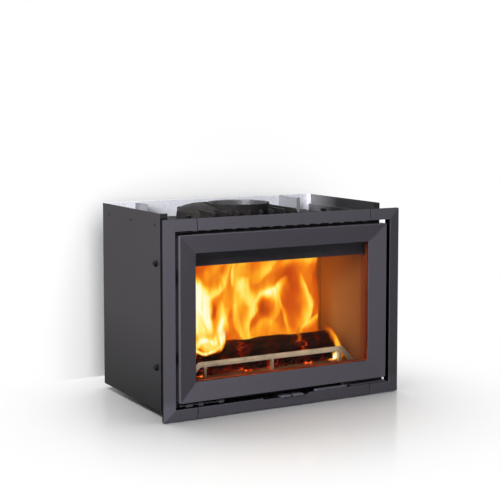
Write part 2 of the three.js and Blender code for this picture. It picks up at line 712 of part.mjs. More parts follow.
function studPlace(side) {
  return [side * (FRAME_HALF - STUD_FROM_SIDE), FLUE_Y - STUD_AHEAD];
}

function collarLugPlaces() {
  const x = 2 * FIN_PITCH;
  const y = Math.sqrt(COLLAR_LUG_OUT ** 2 - x ** 2);
  return [[-x, FLUE_Y - y], [x, FLUE_Y - y], [-x, FLUE_Y + y], [x, FLUE_Y + y]];
}

function topPlate() {
  let plate = block(-FRAME_HALF, FRAME_HALF, TOP_FRONT_Y, TOP_REAR, TOP_UNDERSIDE, TOP_SURFACE);
  for (let i = 0; i < FIN_COUNT; i += 1) {
    const x = (i - (FIN_COUNT - 1) / 2) * FIN_PITCH;
    plate = plate.add(prism("x", x - FIN_THICK / 2, x + FIN_THICK / 2, finOutline()));
  }
  plate = plate.add(topDome());
  const room = COLLAR_SKIRT_RADIUS + FIT;
  const seat = rod("z", TOP_SURFACE, COLLAR_TOP, [0, FLUE_Y], room, ROUND);
  const bore = rod("z", TOP_UNDERSIDE - 1, COLLAR_TOP, [0, FLUE_Y], FLUE_BORE_RADIUS, ROUND);
  const lugRoom = collarLugPlaces().map((place) =>
    rod("z", TOP_SURFACE, COLLAR_TOP, place, COLLAR_LUG_RADIUS + FIT),
  );
  const boltHoles = collarLugPlaces().map((place) =>
    rod("z", TOP_UNDERSIDE - 1, TOP_SURFACE + 1, place, COLLAR_BOLT_RADIUS + FIT),
  );
  const studHoles = [-1, 1].map((side) =>
    rod("z", TOP_UNDERSIDE - 1, TOP_SURFACE + 1, studPlace(side), STUD_RADIUS + FIT),
  );
  return cut(plate, seat, bore, ...lugRoom, ...boltHoles, ...studHoles);
}

function flueCollar() {
  const centre = [0, FLUE_Y];
  const wall = rod("z", COLLAR_BOTTOM, COLLAR_TOP, centre, COLLAR_RADIUS, 2 * ROUND);
  const skirtTop = COLLAR_BOTTOM + COLLAR_SKIRT_HEIGHT;
  const skirt = rod("z", COLLAR_BOTTOM, skirtTop, centre, COLLAR_SKIRT_RADIUS, ROUND);
  const lugs = collarLugPlaces().map((place) =>
    rod("z", COLLAR_BOTTOM, skirtTop, place, COLLAR_LUG_RADIUS),
  );
  const bore = rod("z", COLLAR_BOTTOM - 1, COLLAR_TOP + 1, centre, FLUE_BORE_RADIUS, 2 * ROUND);
  const holes = collarLugPlaces().map((place) =>
    rod("z", COLLAR_BOTTOM - 1, skirtTop + 1, place, COLLAR_BOLT_RADIUS + FIT),
  );
  return cut(join(wall, skirt, ...lugs), bore, ...holes);
}

function collarGasket() {
  const from = TOP_SURFACE + FIT;
  const inner = FLUE_BORE_RADIUS + COLLAR_GASKET_INSET;
  const outer = COLLAR_SKIRT_RADIUS - COLLAR_GASKET_INSET;
  return tube(from, from + COLLAR_GASKET_THICK, [0, FLUE_Y], inner, outer);
}

// a stud standing on its washer on the top plate, with a nut at its upper end
function topPlateStud(side) {
  const place = studPlace(side);
  const top = TOP_SURFACE + STUD_TALL;
  const seat = TOP_SURFACE + FIT;
  const stud = rod("z", TOP_UNDERSIDE, top, place, STUD_RADIUS);
  const washer = rod("z", seat, seat + WASHER_THICK, place, STUD_NUT_RADIUS + WASHER_FLANGE);
  const nut = rod("z", top - STUD_NUT_HEIGHT, top - STUD_TIP, place, STUD_NUT_RADIUS, 6);
  return join(stud, washer, nut);
}

function buildFirebox() {
  add("front_frame", frontFrame(), FINISHES.castIron);
  add("firebox_left_wall", fireboxSide(-1), FINISHES.castIron);
  add("firebox_right_wall", fireboxSide(1), FINISHES.castIron);
  add("firebox_back_wall", fireboxBack(), FINISHES.castIron);
  add("firebox_floor", fireboxFloor(), FINISHES.castIron);
  add("top_plate", topPlate(), FINISHES.castIron);
  add("collar_gasket", collarGasket(), FINISHES.rope);
  add("flue_collar", flueCollar(), FINISHES.castIron);
  add("top_plate_stud_left", topPlateStud(-1), FINISHES.fixings);
  add("top_plate_stud_right", topPlateStud(1), FINISHES.fixings);
}

// ---------------------------------------------------------------- lining and fittings
function sideBrick(side) {
  const outer = WALL_INNER - FIT;
  return block(
    side * (outer - BRICK_SIDE_THICK), side * outer,
    LINING_FRONT, FIREBOX_INNER_REAR - 2 * FIT, FLOOR_TOP + FIT, LINING_TOP,
  );
}

const LINING_HALF = WALL_INNER - 2 * FIT - BRICK_SIDE_THICK;

function airHolePlaces() {
  const places = [];
  for (let i = 0; i < AIR_HOLE_COUNT; i += 1) {
    places.push([(i - (AIR_HOLE_COUNT - 1) / 2) * AIR_HOLE_PITCH, HEARTH_TOP + AIR_HOLE_RISE]);
  }
  return places;
}

function backBrick() {
  const brick = block(
    -LINING_HALF, LINING_HALF,
    BACK_LINING, BACK_LINING + BRICK_BACK_THICK, FLOOR_TOP + FIT, LINING_TOP,
  );
  const holes = airHolePlaces().map((place) =>
    rod("y", BACK_LINING - 1, BACK_LINING + BRICK_BACK_THICK + 1, place, AIR_HOLE_RADIUS, 8),
  );
  return cut(brick, ...holes);
}

// a steel channel behind the back lining that warms the second air
function rearAirDuct() {
  const front = BACK_LINING + BRICK_BACK_THICK + FIT;
  const rear = FIREBOX_INNER_REAR - 2 * FIT;
  const half = LINING_HALF - 2 * FIT;
  const shell = block(-half, half, front, rear, FLOOR_TOP + FIT, LINING_TOP);
  const hollow = block(
    -half + DUCT_SHEET, half - DUCT_SHEET,
    front + DUCT_SHEET, rear + 1, FLOOR_TOP - 1, LINING_TOP - DUCT_SHEET,
  );
  const holes = airHolePlaces().map((place) =>
    rod("y", front - 1, front + DUCT_SHEET + 1, place, AIR_HOLE_RADIUS, 8),
  );
  return cut(shell, hollow, ...holes);
}

function hearthBrick() {
  const brick = block(
    -LINING_HALF, LINING_HALF, LINING_FRONT, BACK_LINING - FIT, FLOOR_TOP + FIT, HEARTH_TOP,
  );
  const hole = block(
    -GRATE_HALF - FIT, GRATE_HALF + FIT,
    GRATE_FRONT - FIT, GRATE_REAR + FIT, FLOOR_TOP, HEARTH_TOP + 1,
  );
  return cut(brick, hole);
}

function ashBox() {
  const half = GRATE_HALF - GRATE_LEDGE - ASH_BOX_PLAY;
  const front = GRATE_FRONT + GRATE_LEDGE + ASH_BOX_PLAY;
  const rear = GRATE_REAR - GRATE_LEDGE - ASH_BOX_PLAY;
  const rim = FLOOR_TOP + FIT;
  const lip = GRATE_LEDGE / 2;
  const body = block(-half, half, front, rear, FLOOR_TOP - ASH_BOX_DEPTH, rim);
  const flange = block(-half - lip, half + lip, front - lip, rear + lip, rim, rim + ASH_BOX_SHEET);
  const hollow = block(
    -half + ASH_BOX_SHEET, half - ASH_BOX_SHEET, front + ASH_BOX_SHEET, rear - ASH_BOX_SHEET,
    FLOOR_TOP - ASH_BOX_DEPTH + ASH_BOX_SHEET, rim + ASH_BOX_SHEET + 1,
  );
  return cut(join(body, flange), hollow);
}

function grate() {
  const bottom = FLOOR_TOP + 2 * FIT + ASH_BOX_SHEET;
  const plate = block(-GRATE_HALF, GRATE_HALF, GRATE_FRONT, GRATE_REAR, bottom, HEARTH_TOP - GRATE_SUNK);
  const pitch = (GRATE_WIDTH - 2 * GRATE_RIM) / GRATE_BARS;
  const slots = [];
  for (let i = 0; i < GRATE_BARS; i += 1) {
    const x = -GRATE_HALF + GRATE_RIM + (i + 0.5) * pitch;
    slots.push(
      block(
        x - GRATE_SLOT / 2, x + GRATE_SLOT / 2,
        GRATE_FRONT + GRATE_RIM, GRATE_REAR - GRATE_RIM, bottom - 1, HEARTH_TOP,
      ),
    );
  }
  return cut(plate, ...slots);
}

function bafflePlate() {
  const half = WALL_INNER - 2 * FIT;
  const bottom = LINING_TOP + FIT;
  return block(
    -half, half, FRAME_BACK + BAFFLE_SMOKE_GAP, FIREBOX_INNER_REAR - 2 * FIT,
    bottom, bottom + BAFFLE_THICK,
  );
}

// the deflector that sends a curtain of air down the glass
function airWashDeflector() {
  const half = CHAMBER_HALF - 2 * FIT;
  const front = FRAME_BACK + FIT;
  const bottom = GLASS_TOP - WASH_DROP;
  const top = GLASS_TOP + WASH_RISE;
  const rear = front + WASH_DEPTH;
  const lean = WASH_DEPTH - WASH_SHEET;
  return prism("x", -half, half, [
    [front, top - WASH_SHEET],
    [rear - WASH_SHEET, top - WASH_SHEET],
    [rear - WASH_SHEET, bottom + WASH_LIP],
    [rear - lean - WASH_SHEET, bottom],
    [rear - lean, bottom],
    [rear, bottom + WASH_LIP - 1],
    [rear, top],
    [front, top],
  ]);
}

// a flat bar on splayed legs with three posts, in front of the logs
function logRetainer() {
  const bottom = HEARTH_TOP + FIT;
  const top = bottom + RETAINER_HEIGHT;
  const under = top - RETAINER_BAR;
  const front = FRAME_BACK + RETAINER_SETBACK;
  const foot = LINING_HALF - RETAINER_CLEARANCE;
  const shoulder = foot - RETAINER_HEIGHT;
  const legWidth = RETAINER_BAR * Math.SQRT2;
  const heel = foot - legWidth;
  const inner = heel - (under - bottom);
  const bar = prism("y", front, front + RETAINER_THICK, [
    [-foot, bottom],
    [-heel, bottom],
    [-inner, under],
    [inner, under],
    [heel, bottom],
    [foot, bottom],
    [shoulder, top],
    [-shoulder, top],
  ]);
  const posts = [-inner + 2 * RETAINER_POST_WIDTH, 0, inner].map((x) => {
    const left = x - RETAINER_POST_WIDTH / 2;
    const cheek = prism("x", left, left + RETAINER_THICK / 2, [
      [front + 1, bottom],
      [front + RETAINER_POST_TOE, bottom],
      [front + RETAINER_POST_DEPTH, under],
      [front + RETAINER_POST_DEPTH, top - 1],
      [front + 1, top - 1],
    ]);
    const face = block(
      left, left + RETAINER_POST_WIDTH, front, front + RETAINER_THICK / 2, bottom, under + 1,
    );
    return join(cheek, face);
  });
  return join(bar, ...posts);
}

function buildLining() {
  add("side_brick_left", sideBrick(-1), FINISHES.vermiculite);
  add("side_brick_right", sideBrick(1), FINISHES.vermiculite);
  add("back_brick", backBrick(), FINISHES.vermiculite);
  add("hearth_brick", hearthBrick(), FINISHES.vermiculite);
  add("rear_air_duct", rearAirDuct(), FINISHES.castIron);
  add("baffle_plate", bafflePlate(), FINISHES.vermiculite);
  add("grate", grate(), FINISHES.castIron);
  add("ash_box", ashBox(), FINISHES.blackSteel);
  add("air_wash_deflector", airWashDeflector(), FINISHES.blackSteel);
  add("log_retainer", logRetainer(), FINISHES.stainless);
}

// ---------------------------------------------------------------- air control
function airLever(centre) {
  const tongueRear = LEVER_FRONT + LEVER_LENGTH;
  const valveFront = tongueRear - VALVE_LENGTH;
  const tongue = block(
    centre - LEVER_WIDTH / 2, centre + LEVER_WIDTH / 2, LEVER_FRONT, valveFront + 1, LEVER_BOTTOM, LEVER_TOP,
  );
  const valve = block(
    centre - VALVE_WIDTH / 2, centre + VALVE_WIDTH / 2, valveFront, tongueRear, LEVER_BOTTOM, LEVER_TOP,
  );
  const window = valveWindow(centre, valveFront + VALVE_LENGTH / 2, LEVER_BOTTOM - 1, LEVER_TOP + 1);
  return cut(join(tongue, valve), window);
}

function valveWindow(x, y, from, to) {
  const half = VALVE_WINDOW / 2;
  return block(x - half, x + half, y - half, y + half, from, to);
}

// a steel box under the floor, with a slot for the two valve plates and a port over each
function airValveHousing() {
  const half = LEVER_PITCH / 2 + VALVE_WIDTH / 2 + HOUSING_WALL + FIT;
  const left = LEVER_MIDDLE - half;
  const right = LEVER_MIDDLE + half;
  const rear = HOUSING_FRONT + HOUSING_DEPTH;
  const bottom = LEVER_BOTTOM - FIT - HOUSING_WALL;
  const ceiling = FLOOR_BOTTOM - FIT;
  const shell = block(left, right, HOUSING_FRONT, rear, bottom, ceiling);
  const slot = block(
    left + HOUSING_WALL, right - HOUSING_WALL,
    HOUSING_FRONT - 1, rear + 1, LEVER_BOTTOM - FIT, LEVER_TOP + FIT,
  );
  const chamberBottom = LEVER_TOP + FIT + HOUSING_WALL;
  const portY = LEVER_FRONT + LEVER_LENGTH - VALVE_LENGTH / 2;
  const chambers = LEVER_CENTRES.map((centre) =>
    block(
      centre - VALVE_WIDTH / 2, centre + VALVE_WIDTH / 2,
      HOUSING_FRONT + HOUSING_WALL, rear + 1, chamberBottom, ceiling - HOUSING_WALL,
    ),
  );
  const ports = LEVER_CENTRES.map((centre) => valveWindow(centre, portY, bottom - 1, chamberBottom + 1));
  return cut(shell, slot, ...chambers, ...ports);
}

function buildAirControl() {
  add("air_lever_left", airLever(LEVER_CENTRES[0]), FINISHES.doorPaint);
  add("air_lever_right", airLever(LEVER_CENTRES[1]), FINISHES.doorPaint);
  add("air_valve_housing", airValveHousing(), FINISHES.blackSteel);
}

// ---------------------------------------------------------------- surround
function surroundRing() {
  const back = (inset) => -SURROUND_PROUD * (inset / SURROUND_SIDE) + SURROUND_SHEET;
  return moulding([
    surroundLoop(0, 0, SURROUND_CORNER),
    surroundLoop(SURROUND_SIDE, -SURROUND_PROUD, SURROUND_CORNER),
    surroundLoop(SURROUND_SIDE, back(SURROUND_SIDE), SURROUND_CORNER),
    surroundLoop(SURROUND_SHEET, back(SURROUND_SHEET), SURROUND_CORNER),
    surroundLoop(SURROUND_SHEET, SURROUND_RETURN, SURROUND_CORNER),
    surroundLoop(0, SURROUND_RETURN, SURROUND_CORNER),
  ]);
}

function leverRecess() {
  const bottom = SURROUND_END - LEVER_RECESS_DEPTH;
  const left = LEVER_MIDDLE - LEVER_RECESS_LEFT;
  const right = LEVER_MIDDLE + LEVER_RECESS_RIGHT;
  const top = SURROUND_END + LEVER_RECESS_DEPTH;
  return prism("y", -SURROUND_PROUD - 2, FRAME_FACE, [
    [right, bottom],
    [right, top],
    [left, top],
    ...arc([left + LEVER_RECESS_DEPTH, bottom + LEVER_RECESS_DEPTH], LEVER_RECESS_DEPTH, 180, 270, 3),
  ]);
}

function surroundPiece(keep) {
  return surroundRing().intersect(keep).subtract(leverRecess());
}

function buildSurround() {
  const half = SURROUND_WIDTH / 2 + 1;
  const joint = SURROUND_WIDTH / 2 - SURROUND_JOINT_INSET;
  const middle = SURROUND_HEIGHT / 2;
  const keep = (xa, xb, za, zb) =>
    block(xa, xb, -SURROUND_PROUD - 1, SURROUND_RETURN + 1, za, zb);
  const inner = joint - SURROUND_JOINT_GAP / 2;
  const outer = joint + SURROUND_JOINT_GAP / 2;
  add("surround_left", surroundPiece(keep(-half, -outer, -1, SURROUND_HEIGHT + 1)), FINISHES.surroundPaint);
  add("surround_right", surroundPiece(keep(outer, half, -1, SURROUND_HEIGHT + 1)), FINISHES.surroundPaint);
  add("surround_top", surroundPiece(keep(-inner, inner, middle, SURROUND_HEIGHT + 1)), FINISHES.surroundPaint);
  add("surround_bottom", surroundPiece(keep(-inner, inner, -1, middle)), FINISHES.surroundPaint);
  add("carrier_frame", carrierFrame(), FINISHES.blackSteel);
  add("surround_bracket_left", surroundBracket(-1), FINISHES.blackSteel);
  add("surround_bracket_right", surroundBracket(1), FINISHES.blackSteel);
  add("warm_air_grille", warmAirGrille(), FINISHES.blackSteel);
}

const CARRIER_INNER = OPENING_HALF + FIT;
const CARRIER_TOP = OPENING_TOP + FIT;
const CARRIER_LOW = SURROUND_END - FIT;
const CARRIER_FRONT = SURROUND_SHEET - SURROUND_PROUD + 3 * FIT;

// the carrier: an angle frame, black behind the surround's inner edge
function carrierFrame() {
  const ring = (inner, grow, front, rear) => {
    const half = CARRIER_INNER + grow;
    const outer = block(-half, half, front, rear, CARRIER_LOW - grow, CARRIER_TOP + grow);
    const hole = block(-inner, inner, front - 1, rear + 1, CARRIER_LOW, CARRIER_TOP);
    return cut(outer, hole);
  };
  const leg = ring(CARRIER_INNER, CARRIER_SHEET, CARRIER_FRONT, CARRIER_DEPTH);
  const flangeRear = CARRIER_FLANGE_Y + CARRIER_SHEET;
  const flange = ring(CARRIER_INNER, CARRIER_FLANGE, CARRIER_FLANGE_Y, flangeRear);
  return cut(join(leg, flange), leverRecess());
}

// a strip on the casing's front flange with two arms that reach to the carrier
function surroundBracket(side) {
  const rear = CASING_SETBACK - FIT;
  const near = CARRIER_INNER + CARRIER_SHEET + FIT;
  const far = near + BRACKET_SHEET;
  const front = CARRIER_FLANGE_Y + CARRIER_SHEET + FIT;
  const strip = block(
    side * (far - BRACKET_FLANGE), side * far, rear - BRACKET_SHEET, rear,
    BRACKET_LOW - BRACKET_HEIGHT / 2, BRACKET_HIGH + BRACKET_HEIGHT / 2,
  );
  const arms = [BRACKET_LOW, BRACKET_HIGH].map((z) =>
    block(side * near, side * far, front, rear, z - BRACKET_HEIGHT / 2, z + BRACKET_HEIGHT / 2),
  );
  return join(strip, ...arms);
}

function warmAirGrille() {
  const rear = TOP_FRONT_Y - FIT;
  const left = HINGE_X + HINGE_PLATE_HALF + GRILLE_HINGE_GAP;
  const bottom = DOOR_TOP + FIT;
  const strip = block(left, FRAME_HALF, rear - GRILLE_THICK, rear, bottom, bottom + GRILLE_HEIGHT);
  const slots = [];
  for (let i = 0; i < GRILLE_SLOT_COUNT; i += 1) {
    const x = (i - (GRILLE_SLOT_COUNT - 1) / 2) * GRILLE_SLOT_PITCH;
    const low = TOP_SURFACE - GRILLE_SLOT_HEIGHT / 2;
    slots.push(
      block(
        x - GRILLE_SLOT_WIDTH / 2, x + GRILLE_SLOT_WIDTH / 2,
        rear - GRILLE_THICK - 1, rear + 1, low, low + GRILLE_SLOT_HEIGHT,
      ),
    );
  }
  return cut(strip, ...slots);
}

// ---------------------------------------------------------------- hinge and latch
const HINGE_UPPER_BOTTOM = TOP_SURFACE + FIT;
const HINGE_LOWER_TOP = DOOR_BOTTOM - HINGE_LOWER_DROP;
const HINGE_LOWER_BOTTOM = HINGE_LOWER_TOP - HINGE_PLATE_THICK;

function hingeBracketUpper() {
  const top = HINGE_UPPER_BOTTOM + HINGE_PLATE_THICK;
  const plate = block(
    HINGE_X - HINGE_PLATE_HALF, HINGE_X + HINGE_PLATE_HALF,
    HINGE_PLATE_FRONT, HINGE_UPPER_REACH, HINGE_UPPER_BOTTOM, top,
  );
  const pinHole = rod(
    "z", HINGE_UPPER_BOTTOM - 1, top + 1, [HINGE_X, HINGE_Y], HINGE_PIN_RADIUS + FIT,
  );
  return cut(plate, pinHole);
}

// the lower plate hangs on the front frame's face, with lugs at its front edge
function hingeBracketLower() {
  const left = HINGE_X - HINGE_PLATE_HALF / 2;
  const right = left + HINGE_LOWER_LENGTH;
  const rear = FRAME_FACE - FIT;
  const plate = block(left, right, HINGE_Y - HINGE_LOWER_AHEAD, rear, HINGE_LOWER_BOTTOM, HINGE_LOWER_TOP);
  const lugs = HINGE_LUGS.map(([offset, width]) =>
    block(
      HINGE_X + offset, HINGE_X + offset + width, HINGE_PLATE_FRONT, HINGE_Y,
      HINGE_LOWER_BOTTOM - HINGE_LUG_REACH, HINGE_LOWER_TOP + HINGE_LUG_REACH,
    ),
  );
  const web = block(
    left, right, rear - HINGE_PLATE_THICK, rear, FRAME_BOTTOM, HINGE_LOWER_TOP,
  );
  const pinHole = rod(
    "z", FRAME_BOTTOM - 1, HINGE_LOWER_TOP + 1, [HINGE_X, HINGE_Y], HINGE_PIN_RADIUS + FIT,
  );
  return cut(join(plate, ...lugs, web), pinHole);
}

function hingePin(shoulder, out, tip) {
  const step = out * HINGE_PIN_HEAD;
  const pin = rod("z", shoulder, tip, [HINGE_X, HINGE_Y], HINGE_PIN_RADIUS);
  const head = rod("z", shoulder, shoulder + step, [HINGE_X, HINGE_Y], HINGE_PIN_RADIUS + HINGE_PIN_FLANGE);
  return join(pin, head);
}

function latchLever() {
  const centre = [LATCH_X, LATCH_Y];
  const front = LATCH_Y - LATCH_BAR_DEPTH / 2;
  const rear = LATCH_Y + LATCH_BAR_DEPTH / 2;
  const tail = LATCH_X + LATCH_TAIL;
  const tip = LATCH_X - LATCH_ARM;
  const bar = prism("z", LATCH_BOTTOM, LATCH_TOP, [
    [tip + LATCH_BAR_DEPTH / 2, front],
    [tail, front],
    [tail, rear],
    [tail, rear + LATCH_NOSE_DEPTH - LATCH_NOSE_EASE],
    [tail - LATCH_NOSE_TIP, rear + LATCH_NOSE_DEPTH],
    [LATCH_X, rear],
    [tip + LATCH_BAR_DEPTH, rear],
    [tip, front + LATCH_GRIP_ROUND],
  ]);
  const hole = rod("z", LATCH_BOTTOM - 1, LATCH_TOP + 1, centre, LATCH_PIN_RADIUS + FIT);
  return cut(bar, hole);
}

// the keeper: a lug beside the latch's nose, on a plate along the surround's lower edge
function latchKeeper() {
  const rear = FRAME_FACE - FIT;
  const left = LATCH_X + LATCH_TAIL + KEEPER_GAP;
  const right = left + KEEPER_WIDTH;
  const plateRight = OPENING_HALF - KEEPER_PLATE_END;
  const plateTop = LATCH_BOTTOM + KEEPER_PLATE_THICK;
  const top = LATCH_BOTTOM + KEEPER_HEIGHT;
  const plate = block(right, plateRight, LATCH_Y - KEEPER_PLATE_AHEAD, rear, LATCH_BOTTOM, plateTop);
  const web = block(right, plateRight, rear - KEEPER_PLATE_THICK, rear, LATCH_BOTTOM, top);
  const lug = block(left, right + 1, LATCH_Y + KEEPER_LUG_BACK, rear, LATCH_BOTTOM, top);
  return join(plate, web, lug);
}

function latchPin() {
  const top = DOOR_BOTTOM + LATCH_PIN_ENGAGE;
  return rod("z", LATCH_BOTTOM - FIT, top, [LATCH_X, LATCH_Y], LATCH_PIN_RADIUS);
}

function buildHingeAndLatch() {
  const upperSeat = HINGE_UPPER_BOTTOM + HINGE_PLATE_THICK + FIT;
  const lowerSeat = HINGE_LOWER_BOTTOM - FIT;
  add("hinge_bracket_upper", hingeBracketUpper(), FINISHES.castIron);
  add("hinge_bracket_lower", hingeBracketLower(), FINISHES.castIron);
  add("hinge_pin_upper", hingePin(upperSeat, 1, DOOR_TOP - HINGE_PIN_ENGAGE), FINISHES.zincSteel);
  add("hinge_pin_lower", hingePin(lowerSeat, -1, DOOR_BOTTOM + HINGE_PIN_ENGAGE), FINISHES.zincSteel);
  add("latch_keeper", latchKeeper(), FINISHES.castIron);
  add("latch_lever", latchLever(), FINISHES.doorPaint);
  add("latch_pin", latchPin(), FINISHES.zincSteel);
}

// ---------------------------------------------------------------- door
function doorFrame() {
  const rebate = DOOR_SIDE_RAIL - GLASS_OVERLAP;
  const lipBack = DOOR_FRONT + DOOR_BEVEL_DEPTH + GLASS_LIP;
  const groove = GASKET_INSET + GASKET_GROOVE_WIDTH;
  const grooveFloor = DOOR_BACK - GASKET_GROOVE_DEPTH;
  const ring = moulding([
    doorLoop(0, DOOR_FRONT + DOOR_EDGE_BREAK, DOOR_CORNER),
    doorLoop(DOOR_EDGE_BREAK, DOOR_FRONT, DOOR_CORNER),
    doorLoop(DOOR_SIDE_RAIL, DOOR_FRONT + DOOR_BEVEL_DEPTH, GLASS_CORNER),
    doorLoop(DOOR_SIDE_RAIL, lipBack, GLASS_CORNER),
    doorLoop(rebate, lipBack, GLASS_CORNER),
    doorLoop(rebate, DOOR_BACK, GLASS_CORNER),
    doorLoop(groove, DOOR_BACK, GLASS_CORNER),
    doorLoop(groove, grooveFloor, GLASS_CORNER),
    doorLoop(GASKET_INSET, grooveFloor, GLASS_CORNER),
    doorLoop(GASKET_INSET, DOOR_BACK, GLASS_CORNER),
    doorLoop(0, DOOR_BACK, DOOR_CORNER),
  ]);
  const latchAt = [LATCH_X, LATCH_Y];
  const bossTop = DOOR_BOTTOM + LATCH_BOSS_ENGAGE;
  const boss = rod("z", LATCH_TOP + FIT, bossTop, latchAt, LATCH_BOSS_RADIUS);
  const holeTop = DOOR_BOTTOM + LATCH_PIN_ENGAGE + 1;
  const latchHole = rod("z", LATCH_TOP, holeTop, latchAt, LATCH_PIN_RADIUS + FIT);
  const room = HINGE_PIN_RADIUS + HINGE_PIN_CLEARANCE;
  const pinHoles = [
    rod("z", DOOR_TOP - HINGE_PIN_ENGAGE - 1, DOOR_TOP + 1, [HINGE_X, HINGE_Y], room),
    rod("z", DOOR_BOTTOM - 1, DOOR_BOTTOM + HINGE_PIN_ENGAGE + 1, [HINGE_X, HINGE_Y], room),
  ];
  return cut(join(ring, boss), latchHole, ...pinHoles);
}

function doorGlass() {
  const grow = GLASS_OVERLAP - GLASS_PLAY;
  const outline = roundedLoop(GLASS_HALF + grow, GLASS_BOTTOM - grow, GLASS_TOP + grow, GLASS_CORNER, 0);
  const flat = outline.map(([x, , z]) => [x, z]);
  return prism("y", GLASS_Y, GLASS_Y + GLASS_THICK, flat);
}

// a flat packing strip between the frame's lip and the glass
function glassPacking() {
  const outer = GLASS_OVERLAP - GLASS_PACKING_INSET;
  const inner = outer - GLASS_PACKING_WIDTH;
  const loop = (grow, y) =>
    roundedLoop(GLASS_HALF + grow, GLASS_BOTTOM - grow, GLASS_TOP + grow, GLASS_CORNER, y);
  const rear = PACKING_Y + GLASS_PACKING_THICK;
  return moulding([loop(outer, PACKING_Y), loop(inner, PACKING_Y), loop(inner, rear), loop(outer, rear)]);
}

// the sealing rope, bedded in the groove in the door's back
function doorGasket() {
  const middle = GASKET_INSET + GASKET_GROOVE_WIDTH / 2;
  const radius = GASKET_DIAMETER / 2 / Math.cos(Math.PI / GASKET_SIDES);
  const loops = [];
  for (let i = 0; i < GASKET_SIDES; i += 1) {
    const angle = ((i + 0.5) / GASKET_SIDES) * 2 * Math.PI;
    const inset = middle + radius * Math.cos(angle);
    const y = GASKET_Y + GASKET_DIAMETER / 2 + radius * Math.sin(angle);
    loops.push(doorLoop(inset, y, GLASS_CORNER));
  }
  return moulding(loops);
}

// a strip behind each side of the glass, screwed to the door's back
function glassRetainer(side) {
  const seat = DOOR_BACK + FIT;
  const inner = DOOR_HALF - RETAINER_STRIP_INSET - RETAINER_STRIP_WIDTH;
  const outer = DOOR_HALF - RETAINER_STRIP_INSET;
  const middle = (DOOR_TOP + DOOR_BOTTOM) / 2;
  const half = RETAINER_STRIP_LENGTH / 2;
  return block(
    side * inner, side * outer, seat, seat + RETAINER_STRIP_THICK, middle - half, middle + half,
  );
}

function buildDoor() {
  add("door_frame", doorFrame(), FINISHES.doorPaint);
  add("door_glass", doorGlass(), FINISHES.glass);
  add("glass_packing", glassPacking(), FINISHES.rope);
  add("door_gasket", doorGasket(), FINISHES.rope);
  add("glass_retainer_left", glassRetainer(-1), FINISHES.zincSteel);
  add("glass_retainer_right", glassRetainer(1), FINISHES.zincSteel);
}

buildCasing();
buildFirebox();
buildLining();
buildAirControl();
buildSurround();
buildHingeAndLatch();
buildDoor();

export default insert;
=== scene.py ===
"""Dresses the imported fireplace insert: paint, castings, lining, glass, fire and studio stage."""

import contextlib
import functools
import math

import bmesh
import bpy
import numpy as np
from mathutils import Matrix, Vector


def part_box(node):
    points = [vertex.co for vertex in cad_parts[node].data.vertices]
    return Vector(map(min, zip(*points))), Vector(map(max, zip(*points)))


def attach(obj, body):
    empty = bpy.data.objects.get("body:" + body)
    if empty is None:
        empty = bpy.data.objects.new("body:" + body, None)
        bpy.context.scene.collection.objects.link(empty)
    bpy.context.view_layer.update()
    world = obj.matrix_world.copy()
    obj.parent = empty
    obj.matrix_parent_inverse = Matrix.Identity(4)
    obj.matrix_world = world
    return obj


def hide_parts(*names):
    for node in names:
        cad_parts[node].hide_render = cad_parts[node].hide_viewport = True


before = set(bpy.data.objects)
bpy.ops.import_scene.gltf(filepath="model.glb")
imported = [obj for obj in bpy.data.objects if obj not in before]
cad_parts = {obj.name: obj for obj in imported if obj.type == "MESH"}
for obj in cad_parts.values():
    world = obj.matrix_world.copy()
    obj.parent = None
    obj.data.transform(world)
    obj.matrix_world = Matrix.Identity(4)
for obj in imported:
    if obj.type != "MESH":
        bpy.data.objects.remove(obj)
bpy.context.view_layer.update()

bl_info = {
    "name": "Fireplace insert dressing",
    "version": (1, 0, 0),
    "blender": (4, 5, 0),
    "location": "View3D > Sidebar > Fireplace",
    "description": "Builds the looks of a fireplace insert around its solid parts",
    "category": "Object",
}

MM = 0.001
BODY = "insert_body"
PIECES = "Fireplace insert"
STAGE = "Stage"
SIDES = ("left", "right")
SPECULAR = "Specular IOR Level"
BLACK = (0.0, 0.0, 0.0)
WHITE = (1.0, 1.0, 1.0)
WELD = 2e-6
FLAT_UNDER = math.radians(0.5)
# parts of a normal along an axis: a face that looks that way, and one that looks aside
FACING = 0.6
ASIDE = 0.2
ROUND_OVER = math.radians(32)


# ---------------- plain helpers
def linear(*display):
    """Linear light values of a colour that is written in display values from 0 to 255."""
    shares = [channel / 255.0 for channel in display]
    return tuple(c / 12.92 if c <= 0.04045 else ((c + 0.055) / 1.055) ** 2.4 for c in shares)


def shade(colour, factor):
    return tuple(channel * factor for channel in colour)


def new_object(name, data, collection=PIECES):
    group = bpy.data.collections.get(collection)
    if group is None:
        group = bpy.data.collections.new(collection)
        bpy.context.scene.collection.children.link(group)
    obj = bpy.data.objects.new(name, data)
    group.objects.link(obj)
    return obj


def new_mesh(name, vertices=(), faces=()):
    mesh = bpy.data.meshes.new(name)
    mesh.from_pydata(vertices, [], faces)
    return mesh


@contextlib.contextmanager
def edited(mesh):
    """The mesh as an open shape, written back at the end."""
    shape = bmesh.new()
    shape.from_mesh(mesh)
    yield shape
    shape.to_mesh(mesh)
    shape.free()


def smooth_by_angle(mesh, degrees):
    for polygon in mesh.polygons:
        polygon.use_smooth = True
    mesh.set_sharp_from_angle(angle=math.radians(degrees))


def baked(obj):
    """Turns the object's live modifiers into a plain mesh."""
    bpy.context.view_layer.update()
    depsgraph = bpy.context.evaluated_depsgraph_get()
    mesh = bpy.data.meshes.new_from_object(obj.evaluated_get(depsgraph))
    obj.modifiers.clear()
    obj.data = mesh
    return obj


